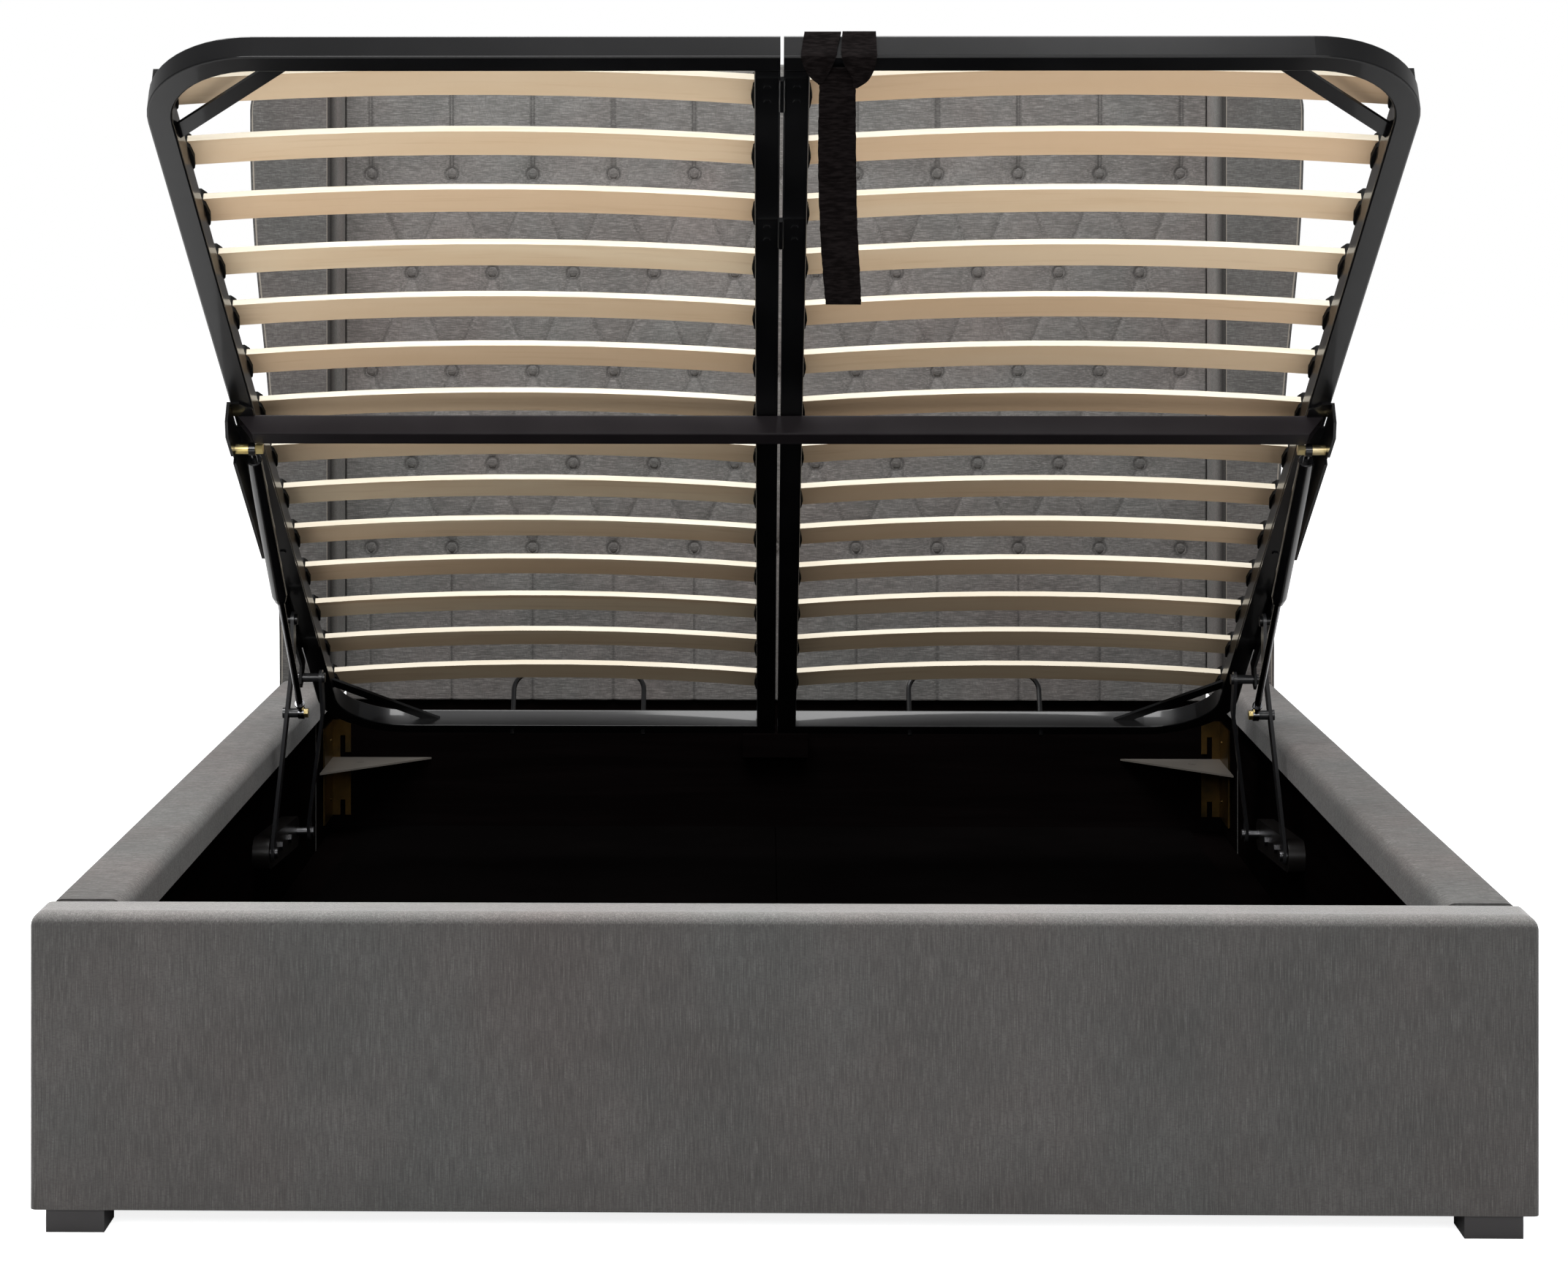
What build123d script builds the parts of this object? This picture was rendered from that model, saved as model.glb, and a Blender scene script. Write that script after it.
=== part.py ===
from build123d import *
import os
from math import atan2, cos, degrees, hypot, pi, radians, sin

# All lengths are millimetres. X runs across the bed, Y from foot to head, Z up from the floor.
# The part is drawn with the lid raised, which is how the lift mechanism rests.

# Mattress space and outer size
mattress_width = 1500.0
mattress_length = 2000.0
mattress_side_gap = 18.0
mattress_end_gap = 26.0
rail_thickness = 88.0
panel_bottom = 27.0
panel_top = 368.0
cover_thickness = 6.0
edge_round = 16.0
corner_round = 8.0

# Footboard and side rails
footboard_thickness = 76.0
rail_inset = 7.0
batten_thickness = 25.0
batten_height = 47.0

# Headboard
head_rail_thickness = 24.0
head_rail_height = 277.0
pad_bottom = 304.0
pad_thickness = 26.0
pad_edge_round = 9.0
pad_clearance = 0.3
headboard_top = 1440.0
headboard_board_thickness = 31.0
headboard_skin = 8.0
wing_corner_round = 90.0
wing_cover_thickness = 8.0
wing_edge_round = 7.0
wing_reach = 210.0
wing_flare = 51.0
wing_height_shares = [0.0, 0.14, 0.37, 0.54, 0.71, 0.81, 0.91, 1.0]
wing_flare_shares = [0.0, 0.03, 0.23, 0.45, 0.77, 0.91, 0.99, 1.0]

# Deep buttoning
button_columns = 11
button_pitch_share = 0.094
button_row_shares = [0.8283, 0.6734, 0.5185, 0.3732, 0.2403]
button_radius = 12.0
button_thickness = 7.0
button_face_inset = 4.0
button_sides = 12
dimple_radius = 15.0
groove_width = 5.0
groove_depth = 4.0

# Storage floor and feet
floor_top = 80.0
floor_board = 6.0
floor_joint = 2.0
floor_edge_gap = 58.0
ledge_height = 24.0
ledge_width = 78.0
end_ledge_depth = 30.0
beam_width = 60.0
beam_height = 44.0
foot_width = 67.0
foot_depth = 58.0
foot_inset = 18.0
foot_setback = 5.0
centre_foot_size = 50.0
centre_foot_shares = [0.27, 0.68]

# Head corner fittings
hook_plate_thickness = 3.0
hook_long_leg = 112.0
hook_short_leg = 35.0
hook_bottom = 100.0
hook_height = 170.0
hook_slot_width = 9.0
hook_slot_inset = 10.0
hook_upper_slot_top = 142.0
hook_upper_slot_base = 94.0
hook_lower_slot_depth = 27.0
hook_rivet_radius = 3.0
hook_rivet_proud = 2.0
hook_rivet_margin = 33.0
corner_plate_bottom = 200.0
corner_plate_thickness = 3.0
corner_plate_side = 176.0
corner_plate_slot_length = 16.0
corner_plate_slot_width = 6.0
corner_plate_slot_offset = 56.0

# Rest blocks for the closed lid
block_width = 115.0
block_depth = 30.0
block_height = 41.0
block_top = 249.5
foot_block_share = 0.4

# Lift frame
frame_side_gap = 5.0
frame_end_gap = 10.0
tube_size = 30.0
tube_wall = 1.6
tube_corner = 2.5
tube_inner_corner = 0.9
frame_bend_radius = 125.0
frame_gap = 4.0
head_end_from_wall = 424.3
head_end_z = 312.0
lid_tilt_degrees = 31.34
brace_width = 30.0
brace_thickness = 4.0
brace_reach = 130.0
joining_plate_length = 66.0
joining_plate_width = 58.0
joining_plate_thickness = 2.5
joining_plate_margins = [40.0, 350.0]
joining_knuckle_radius = 4.0
joining_bolt_across = 8.0
joining_bolt_height = 2.0
joining_bolt_spacing = 30.0
crossbar_s = 1109.0
crossbar_end_gap = 5.0
crossbar_mitre = 23.0

# Sprung slats and their end caps
slat_count = 14
slat_head_margin = 139.0
slat_foot_margin = 128.5
slat_width = 53.0
slat_thickness = 8.0
slat_bow = 15.5
slat_inset = 12.0
cap_floor = 6.0
cap_wall = 3.0
cap_side_wall = 4.0
cap_room = 11.0
cap_width_play = 1.0
cap_overlap = 18.0
cap_nose = 8.0
cap_nose_steps = 4

# Side angles that carry the lid on the links
angle_thickness = 4.0
angle_flange_width = 29.0
angle_flange_thickness = 3.0
angle_head_s = 296.0
angle_flange_head_s = 352.0
angle_foot_s = 1160.0
angle_foot_edge = 30.0
angle_foot_cut = 16.0
angle_crossbar_gap = 1.0
angle_deep = 46.0
angle_notch = 8.0
angle_mid = 22.0
angle_shallow = 16.0
angle_deep_start_s = 765.0
lobe_radius = 14.0
flange_bolt_s = 699.0

# Pivots. Frame pivots are measured from the head end along the lid and from its underside.
base_front_pivot_from_wall = 888.798
base_front_pivot_z = 202.0
base_rear_pivot_from_wall = 607.774
base_rear_pivot_z = 182.5
frame_front_pivot_s = 518.0
frame_front_pivot_n = -30.0
frame_rear_pivot_s = 312.0
frame_rear_pivot_n = -36.0
strut_top_s = 1081.5
strut_top_n = -31.0
strut_foot_share = 0.6

# Links
link_width = 24.0
link_thickness = 5.0
link_flat_end = 18.0
link_flat_top = 60.0
front_link_top_inset = 10.0
rear_link_top_inset = 29.0
front_link_foot_gap = 4.0
rear_link_foot_gap = 20.0
pin_radius = 5.0
pin_running_gap = 0.05
pin_head_radius = 8.0
pin_head_height = 4.0
pin_side_gap = 0.4

# Base hinge brackets
bracket_wall = 4.0
bracket_rim_wall = 3.0
bracket_radius = 24.0
bracket_depth = 25.0
bracket_bolt_across = 13.0
bracket_bolt_height = 5.0
bracket_bolt_share = 0.33

# Gas struts
strut_inset = 23.0
cylinder_radius = 11.0
cylinder_bore = 9.4
cylinder_length = 355.0
cylinder_neck = 22.0
collar_length = 14.0
collar_end_radius = 8.0
rod_radius = 5.0
rod_inside = 40.0
piston_radius = 9.2
piston_length = 12.0
eye_radius = 9.0
eye_width = 9.0
eye_shank_radius = 7.0
eye_neck_radius = 4.2
eye_shank_length = 14.0
rod_ring_radius = 7.5
rod_ring_length = 3.0
strut_bolt_across = 13.0
strut_bolt_head = 6.0
strut_nut_height = 10.0
spacer_radius = 7.0

# Mattress hoops
hoop_wire = 4.0
hoop_inner_share = 0.2953
hoop_outer_share = 0.5852
hoop_height = 72.0
hoop_bend = 30.0
hoop_tip = 8.0

# Pull strap
strap_width = 40.0
strap_thickness = 2.5
strap_x = 57.0
strap_wrap_gap = 4.0
strap_drop = 271.0
strap_play = 0.3
strap_fold_drops = [46.0, 136.0]
strap_fold_height = 3.0
strap_fold_proud = 0.7

# Shared overrun for cuts
overrun = 5.0

# Derived places
rail_inner = mattress_width / 2 + mattress_side_gap
rail_outer = rail_inner + rail_thickness
half_width = rail_outer + rail_inset
head_wall_y = footboard_thickness + mattress_length + mattress_end_gap
rail_end_y = head_wall_y - wing_reach
board_inner = rail_inner + batten_thickness
board_outer = rail_outer - cover_thickness
batten_bottom = panel_top - batten_height
head_back_y = head_wall_y + head_rail_thickness + headboard_board_thickness + headboard_skin
board_front_y = head_wall_y + head_rail_thickness
floor_underside = floor_top - floor_board
lid_tilt = radians(lid_tilt_degrees)
frame_half = mattress_width / 2 - frame_side_gap
frame_length = mattress_length - frame_end_gap
head_end_y = head_wall_y - head_end_from_wall
tube_inner_x = frame_half - tube_size
gap_half = frame_gap / 2
centre_tube_outer = gap_half + tube_size
slat_under = tube_size + cap_floor
slat_pitch = (frame_length - slat_head_margin - slat_foot_margin) / (slat_count - 1)
button_pitch = 2 * rail_inner * button_pitch_share
button_rows = [pad_bottom + share * (headboard_top - pad_bottom) for share in button_row_shares]
bracket_web_x = board_inner - bracket_depth
front_link_foot_x = bracket_web_x - front_link_foot_gap
rear_link_foot_x = bracket_web_x - rear_link_foot_gap
front_link_top_x = frame_half - front_link_top_inset
rear_link_top_x = frame_half - rear_link_top_inset
angle_outer_x = frame_half + angle_thickness
strut_x = frame_half - strut_inset
foot_block_x = frame_half * foot_block_share
hoop_inner_x = frame_half * hoop_inner_share
hoop_outer_x = frame_half * hoop_outer_share


def box(x0, x1, y0, y1, z0, z1):
    size = (x1 - x0, y1 - y0, z1 - z0)
    middle = ((x0 + x1) / 2, (y0 + y1) / 2, (z0 + z1) / 2)
    return Pos(*middle) * Box(*size)


def across(sketch, x0, x1):
    return extrude(Plane.YZ.offset(x0) * sketch, amount=x1 - x0)


def along(sketch, y0, y1):
    return extrude(Plane.XZ.offset(-y1) * sketch, amount=y1 - y0)


def upward(sketch, z0, z1):
    return extrude(Plane.XY.offset(z0) * sketch, amount=z1 - z0)


def outline(points):
    return make_face(Polyline(*points, close=True))


def mirrored(shape):
    return mirror(shape, about=Plane.YZ)


def rod_x(x0, x1, y, z, radius):
    return across(Pos(y, z) * Circle(radius), x0, x1)


def hex_x(x0, x1, y, z, flats):
    return across(Pos(y, z) * RegularPolygon(flats / 2, 6, major_radius=False), x0, x1)


def lid_point(s, n):
    y = head_end_y - s * cos(lid_tilt) + n * sin(lid_tilt)
    z = head_end_z + s * sin(lid_tilt) + n * cos(lid_tilt)
    return (y, z)


def on_lid(shape):
    return Pos(0, head_end_y, head_end_z) * Rot(-lid_tilt_degrees, 0, 0) * shape


def from_to(shape, start, end):
    angle = degrees(atan2(end[1] - start[1], end[0] - start[0]))
    return Pos(0, start[0], start[1]) * Rot(angle, 0, 0) * shape


base_front = (head_wall_y - base_front_pivot_from_wall, base_front_pivot_z)
base_rear = (head_wall_y - base_rear_pivot_from_wall, base_rear_pivot_z)
frame_front = lid_point(frame_front_pivot_s, frame_front_pivot_n)
frame_rear = lid_point(frame_rear_pivot_s, frame_rear_pivot_n)
strut_top = lid_point(strut_top_s, strut_top_n)
strut_foot = (
    base_front[0] + strut_foot_share * (frame_front[0] - base_front[0]),
    base_front[1] + strut_foot_share * (frame_front[1] - base_front[1]),
)
front_link_length = hypot(frame_front[0] - base_front[0], frame_front[1] - base_front[1])
rear_link_length = hypot(frame_rear[0] - base_rear[0], frame_rear[1] - base_rear[1])
strut_length = hypot(strut_foot[0] - strut_top[0], strut_foot[1] - strut_top[1])
front_link_slope = (front_link_top_x - front_link_foot_x) / (front_link_length - link_flat_end - link_flat_top)
strut_foot_x = front_link_foot_x + front_link_slope * (strut_foot_share * front_link_length - link_flat_end)

# The origin is below the middle of the whole part, whose front is the raised foot bar.
strap_reach = strap_play + strap_thickness
lid_front = lid_point(frame_length + strap_reach, -strap_reach)[0]
origin_y = (lid_front + head_back_y) / 2


# Footboard
def footboard_core():
    inner = footboard_thickness - cover_thickness
    top = panel_top - cover_thickness
    side = [
        (cover_thickness, panel_bottom),
        (cover_thickness, top),
        (inner, top),
        (inner, batten_bottom),
        (footboard_thickness, batten_bottom),
        (footboard_thickness, panel_bottom),
    ]
    return across(outline(side), cover_thickness - half_width, half_width - cover_thickness)


def footboard_cover():
    body = box(-half_width, half_width, 0, footboard_thickness, panel_bottom, panel_top)
    body = fillet(body.edges().group_by(Axis.Z)[-1], edge_round)
    upright = body.edges().filter_by(Axis.Z).group_by(Axis.Y)[0]
    body = fillet(upright, corner_round)
    return body - footboard_core()


# Side rails, drawn on the +X side
def rail_core():
    top = panel_top - cover_thickness
    section = [
        (board_inner, panel_bottom),
        (board_inner, batten_bottom),
        (rail_inner + cover_thickness, batten_bottom),
        (rail_inner + cover_thickness, top),
        (board_outer, top),
        (board_outer, panel_bottom),
    ]
    return along(outline(section), footboard_thickness, rail_end_y)


def rail_cover():
    section = outline([
        (rail_inner, batten_bottom),
        (rail_inner, panel_top),
        (rail_outer, panel_top),
        (rail_outer, panel_bottom),
        (board_outer, panel_bottom),
        (board_outer, panel_top - cover_thickness),
        (rail_inner + cover_thickness, panel_top - cover_thickness),
        (rail_inner + cover_thickness, batten_bottom),
    ])
    section = fillet(section.vertices().group_by(Axis.Y)[-1], edge_round)
    return along(section, footboard_thickness, rail_end_y)


# Wings, drawn on the +X side
def wing_section(inset):
    outer = rail_outer - inset
    bottom = panel_bottom + inset
    top = headboard_top - inset
    inner = rail_inner + inset
    shoulder = headboard_top - wing_corner_round
    turn = wing_corner_round - inset
    profile = []
    for up, out in zip(wing_height_shares, wing_flare_shares):
        profile.append((outer + out * wing_flare, panel_top + up * (shoulder - panel_top)))
    edge = Spline(*profile, tangents=[(0, 1), (0, 1)])
    high = profile[-1]
    curve = RadiusArc(high, (high[0] - turn, top), -turn)
    rest = Polyline(
        (high[0] - turn, top),
        (inner, top),
        (inner, batten_bottom),
        (board_inner, batten_bottom),
        (board_inner, bottom),
        (outer, bottom),
        (outer, panel_top),
    )
    return make_face([edge, curve, rest])


def wing_core():
    solid = along(wing_section(wing_cover_thickness), rail_end_y + wing_cover_thickness,
                  head_back_y - wing_cover_thickness)
    return solid


def wing_cover():
    solid = along(wing_section(0), rail_end_y, head_back_y)
    front = solid.faces().sort_by(Axis.Y)[0]
    long_edges = front.edges().filter_by(lambda e: e.center().Z > panel_top and e.length > wing_corner_round)
    solid = fillet(long_edges, wing_edge_round)
    return solid - wing_core()


# Headboard between the wings
def head_rail():
    return box(-board_inner, board_inner, head_wall_y, board_front_y, panel_bottom,
               panel_bottom + head_rail_height)


def headboard_frame():
    side = [
        (board_front_y, panel_bottom),
        (board_front_y, headboard_top - headboard_skin),
        (head_back_y - headboard_skin, headboard_top - headboard_skin),
        (head_back_y - headboard_skin, panel_bottom),
    ]
    return across(outline(side), -rail_inner, rail_inner)


def headboard_back_cover():
    side = outline([
        (head_back_y - headboard_skin, panel_bottom),
        (head_back_y - headboard_skin, headboard_top - headboard_skin),
        (board_front_y, headboard_top - headboard_skin),
        (board_front_y, headboard_top),
        (head_back_y, headboard_top),
        (head_back_y, panel_bottom),
    ])
    return across(side, -rail_inner, rail_inner)


def button_places(row):
    inset = 0 if row % 2 == 0 else 0.5
    count = button_columns - row % 2
    first = -(button_columns - 1) / 2 + inset
    return [(first + i) * button_pitch for i in range(count)]


def groove(start, end):
    length = hypot(end[0] - start[0], end[1] - start[1])
    angle = degrees(atan2(end[1] - start[1], end[0] - start[0]))
    middle = ((start[0] + end[0]) / 2, (start[1] + end[1]) / 2)
    return Pos(*middle) * Rot(0, 0, angle) * Rectangle(length, groove_width)


def tuft_sketch():
    strips = []
    for row in range(len(button_rows) - 1):
        for x in button_places(row):
            for side in (-1, 1):
                end_x = x + side * button_pitch / 2
                if abs(end_x) <= abs(button_places(0)[0]):
                    strips.append(groove((x, button_rows[row]), (end_x, button_rows[row + 1])))
    for x in button_places(0):
        strips.append(groove((x, button_rows[0]), (x, headboard_top)))
        strips.append(groove((x, button_rows[-1]), (x, pad_bottom)))
    for row, z in enumerate(button_rows):
        for x in button_places(row):
            strips.append(Pos(x, z) * RegularPolygon(dimple_radius, button_sides))
    return Sketch() + strips


def headboard_pad():
    width = rail_inner - pad_clearance
    body = box(-width, width, board_front_y - pad_thickness, board_front_y - pad_clearance,
               pad_bottom + pad_clearance, headboard_top)
    body = fillet(body.faces().sort_by(Axis.Y)[0].edges(), pad_edge_round)
    front = board_front_y - pad_thickness
    return body - along(tuft_sketch(), front - overrun, front + groove_depth)


def headboard_buttons():
    seat = board_front_y - pad_thickness + groove_depth
    buttons = []
    for row, z in enumerate(button_rows):
        for x in button_places(row):
            base = Plane((x, seat, z), x_dir=(1, 0, 0), z_dir=(0, -1, 0))
            low = base * RegularPolygon(button_radius, button_sides)
            high = base.offset(button_thickness) * RegularPolygon(button_radius - button_face_inset, button_sides)
            buttons.append(loft([low, high], ruled=True))
    return buttons


# Storage floor
def floor_panel():
    return box(floor_joint / 2, board_inner - floor_edge_gap, footboard_thickness, head_wall_y,
               floor_underside, floor_top)


def centre_floor_beam():
    return box(-beam_width / 2, beam_width / 2, footboard_thickness, head_wall_y,
               floor_underside - beam_height, floor_underside)


def floor_ledges():
    low = floor_underside - ledge_height
    side = box(board_inner - ledge_width, board_inner, footboard_thickness, head_wall_y, low, floor_underside)
    inner = board_inner - ledge_width
    ends = []
    for y in (footboard_thickness, head_wall_y - end_ledge_depth):
        ends.append(box(beam_width / 2, inner, y, y + end_ledge_depth, low, floor_underside))
    solids = [side] + ends
    return solids + [mirrored(s) for s in solids]


def corner_feet():
    outer = half_width - foot_inset
    front = box(outer - foot_width, outer, foot_setback, foot_setback + foot_depth, 0, panel_bottom)
    rear = box(outer - foot_width, outer, head_back_y - foot_setback - foot_depth, head_back_y - foot_setback,
               0, panel_bottom)
    return [front, rear, mirrored(front), mirrored(rear)]


def centre_feet():
    half = centre_foot_size / 2
    top = floor_underside - beam_height
    feet = []
    for y in [share * head_wall_y for share in centre_foot_shares]:
        feet.append(box(-half, half, y - half, y + half, 0, top))
    return feet


# Head corner fittings, drawn on the +X side
def hook_bracket():
    inner = board_inner - hook_plate_thickness
    face_y = head_wall_y - hook_plate_thickness
    top = hook_bottom + hook_height
    tip = board_inner - hook_short_leg
    long_leg = box(inner, board_inner, head_wall_y - hook_long_leg, head_wall_y, hook_bottom, top)
    short_leg = box(tip, inner, face_y, head_wall_y, hook_bottom, top)
    plate = long_leg + short_leg
    cut_y = (face_y - overrun, head_wall_y + overrun)
    slot_x = tip + hook_slot_inset
    upper_top = hook_bottom + hook_upper_slot_top
    upper_base = hook_bottom + hook_upper_slot_base
    plate -= box(slot_x, slot_x + hook_slot_width, *cut_y, upper_base, upper_top)
    plate -= box(tip - overrun, slot_x + hook_slot_width, *cut_y, upper_base, upper_base + 2 * hook_slot_width)
    plate -= box(slot_x, slot_x + hook_slot_width, *cut_y, hook_bottom - overrun,
                 hook_bottom + hook_lower_slot_depth)
    for z in (hook_bottom + hook_rivet_margin, top - hook_rivet_margin):
        plate += rod_x(inner - hook_rivet_proud, inner, head_wall_y - hook_rivet_margin, z, hook_rivet_radius)
    return plate


def corner_plate():
    outer = board_inner - hook_plate_thickness
    back = head_wall_y - hook_plate_thickness
    face = outline([(outer, back), (outer, back - corner_plate_side), (outer - corner_plate_side, back)])
    slot_place = Pos(outer - corner_plate_slot_offset, back - corner_plate_slot_offset)
    face -= slot_place * Rot(0, 0, -45) * SlotOverall(corner_plate_slot_length, corner_plate_slot_width)
    return upward(face, corner_plate_bottom, corner_plate_bottom + corner_plate_thickness)


def support_blocks():
    half = block_width / 2
    low = block_top - block_height
    head = box(-half, half, head_wall_y - block_depth, head_wall_y, low, block_top)
    foot = box(foot_block_x - half, foot_block_x + half, footboard_thickness, footboard_thickness + block_depth,
               low, block_top)
    return [head, foot, mirrored(foot)]


# Lift frame, drawn flat with the lid's length along -Y and then tilted
def tube_section():
    inner = tube_size - 2 * tube_wall
    return RectangleRounded(tube_size, tube_size, tube_corner) - RectangleRounded(inner, inner, tube_inner_corner)


def frame_tube():
    middle = tube_size / 2
    side = frame_half - middle
    path = FilletPolyline(
        (gap_half, -middle, middle),
        (side, -middle, middle),
        (side, middle - frame_length, middle),
        (gap_half, middle - frame_length, middle),
        radius=frame_bend_radius,
    )
    inner = tube_size - 2 * tube_wall
    start = Plane((gap_half, -middle, middle), x_dir=(0, 1, 0), z_dir=(1, 0, 0))
    outside = sweep(start * RectangleRounded(tube_size, tube_size, tube_corner), path=path)
    inside = sweep(start * RectangleRounded(inner, inner, tube_inner_corner), path=path)
    return on_lid(outside - inside)


def centre_tube():
    start = Plane((gap_half + tube_size / 2, -tube_size, tube_size / 2), x_dir=(1, 0, 0), z_dir=(0, -1, 0))
    return on_lid(extrude(start * tube_section(), amount=frame_length - 2 * tube_size))


def corner_brace(foot_end):
    reach = brace_reach
    face = outline([
        (tube_inner_x, -tube_size - reach),
        (tube_inner_x - reach, -tube_size),
        (tube_inner_x - reach - brace_width, -tube_size),
        (tube_inner_x, -tube_size - reach - brace_width),
    ])
    low = (tube_size - brace_thickness) / 2
    bar = upward(face, low, low + brace_thickness)
    if foot_end:
        bar = mirror(bar, about=Plane((0, -frame_length / 2, 0), z_dir=(0, 1, 0)))
    return on_lid(bar)


def corner_braces():
    bars = [corner_brace(True), corner_brace(False)]
    return bars + [mirrored(b) for b in bars]


def joining_plate_starts():
    return [frame_length - margin - joining_plate_length for margin in joining_plate_margins]


def joining_plates():
    half = joining_plate_width / 2
    plates = []
    for s in joining_plate_starts():
        plate = box(-half, half, -s - joining_plate_length, -s, -joining_plate_thickness, 0)
        knuckle = Pos(0, -joining_plate_thickness) * Circle(joining_knuckle_radius)
        barrel = along(knuckle, -s - joining_plate_length, -s)
        overlap = box(-half, half, -s - joining_plate_length, -s, 0, tube_size)
        plates.append(on_lid(plate + (barrel - overlap)))
    return plates


def joining_bolts():
    bolts = []
    for s in joining_plate_starts():
        for row in (-1, 1):
            for side in (-1, 1):
                x = side * (gap_half + tube_size / 2)
                y = -s - joining_plate_length / 2 + row * joining_bolt_spacing / 2
                head = Pos(x, y, 0) * RegularPolygon(joining_bolt_across / 2, 6, major_radius=False)
                low = -joining_plate_thickness - joining_bolt_height
                bolts.append(on_lid(upward(head, low, -joining_plate_thickness)))
    return bolts


def crossbar():
    half = frame_half - crossbar_end_gap
    low = half - crossbar_mitre
    start = Plane((-half, -crossbar_s, -tube_size / 2), x_dir=(0, 1, 0), z_dir=(1, 0, 0))
    bar = extrude(start * tube_section(), amount=2 * half)
    mitred = outline([(-half, 0), (half, 0), (low, -tube_size), (-low, -tube_size)])
    return on_lid(bar & along(mitred, -crossbar_s - tube_size, -crossbar_s + tube_size))


# Slats and caps, drawn on the +X side
def slat_places():
    return [slat_head_margin + i * slat_pitch for i in range(slat_count)]


def slat(s):
    x0 = gap_half + slat_inset
    x1 = frame_half - slat_inset
    middle = (x0 + x1) / 2
    low = slat_under
    high = slat_under + slat_thickness
    under = ThreePointArc((x0, low), (middle, low + slat_bow), (x1, low))
    over = ThreePointArc((x0, high), (middle, high + slat_bow), (x1, high))
    face = make_face([under, Line((x1, low), (x1, high)), over, Line((x0, low), (x0, high))])
    return on_lid(along(face, -s - slat_width / 2, -s + slat_width / 2))


def cap(s, back_x, side):
    half = slat_width / 2 + cap_width_play / 2 + cap_side_wall
    shoulder = cap_overlap
    points = [(0, -half), (shoulder, -half)]
    for i in range(1, cap_nose_steps):
        angle = pi * (i / cap_nose_steps - 0.5)
        points.append((shoulder + cap_nose * cos(angle), half * sin(angle)))
    points += [(shoulder, half), (0, half)]
    face = outline([(back_x + side * x, y - s) for x, y in points])
    height = cap_floor + cap_room + cap_wall
    solid = upward(face, tube_size, tube_size + height)
    pocket_half = (slat_width + cap_width_play) / 2
    ends = sorted([back_x + side * cap_side_wall, back_x + side * (shoulder + cap_nose + overrun)])
    pocket = box(ends[0], ends[1], -s - pocket_half, -s + pocket_half, slat_under, slat_under + cap_room)
    return on_lid(solid - pocket)


def outer_caps():
    return [cap(s, frame_half - slat_inset + cap_side_wall, -1) for s in slat_places()]


def inner_caps():
    return [cap(s, gap_half + slat_inset - cap_side_wall, 1) for s in slat_places()]


# Side angles, drawn on the +X side
def angle_leg():
    low_front = frame_front_pivot_n - lobe_radius
    low_rear = frame_rear_pivot_n - lobe_radius
    notch_top = angle_notch - angle_deep
    steps = [
        (angle_foot_s, 0),
        (angle_foot_s, -angle_foot_edge),
        (angle_foot_s - angle_foot_cut, -angle_deep),
        (strut_top_s + lobe_radius / 2, -angle_deep),
        (strut_top_s - lobe_radius / 2, notch_top),
        (strut_top_s - lobe_radius, notch_top),
        (strut_top_s - lobe_radius, -angle_deep),
        (angle_deep_start_s, -angle_deep),
        (angle_deep_start_s - angle_deep + angle_shallow, -angle_shallow),
        (frame_front_pivot_s + lobe_radius, -angle_shallow),
        (frame_front_pivot_s + lobe_radius, frame_front_pivot_n),
        (frame_front_pivot_s + lobe_radius / 2, low_front),
        (frame_front_pivot_s - lobe_radius / 2, low_front),
        (frame_front_pivot_s - lobe_radius, frame_front_pivot_n),
        (frame_front_pivot_s - lobe_radius, -angle_mid),
        (frame_rear_pivot_s + lobe_radius, -angle_mid),
        (frame_rear_pivot_s + lobe_radius, frame_rear_pivot_n),
        (frame_rear_pivot_s + lobe_radius / 2, low_rear),
        (frame_rear_pivot_s - lobe_radius / 2, low_rear),
        (frame_rear_pivot_s - lobe_radius, frame_rear_pivot_n),
        (angle_head_s, 0),
    ]
    return across(outline([(-s, n) for s, n in steps]), frame_half, angle_outer_x)


def angle_flange(head_s, foot_s, cut):
    inner = frame_half - angle_flange_width
    face = outline([
        (frame_half, -head_s),
        (inner, -head_s),
        (inner, cut - foot_s),
        (inner + cut, -foot_s),
        (frame_half, -foot_s),
    ])
    return upward(face, -angle_flange_thickness, 0)


def side_angle():
    half = tube_size / 2 + angle_crossbar_gap
    long_flange = angle_flange(angle_flange_head_s, crossbar_s - half, angle_foot_cut)
    end_flange = angle_flange(crossbar_s + half, angle_foot_s, angle_foot_cut)
    bolt = RegularPolygon(joining_bolt_across / 2, 6, major_radius=False)
    head = Pos(frame_half - tube_size / 2, -flange_bolt_s, 0) * bolt
    angle = angle_leg() + long_flange + end_flange
    angle += upward(head, -angle_flange_thickness - joining_bolt_height, -angle_flange_thickness)
    return on_lid(angle) - rod_x(frame_half, angle_outer_x, *frame_front, pin_radius + pin_running_gap)


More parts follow.
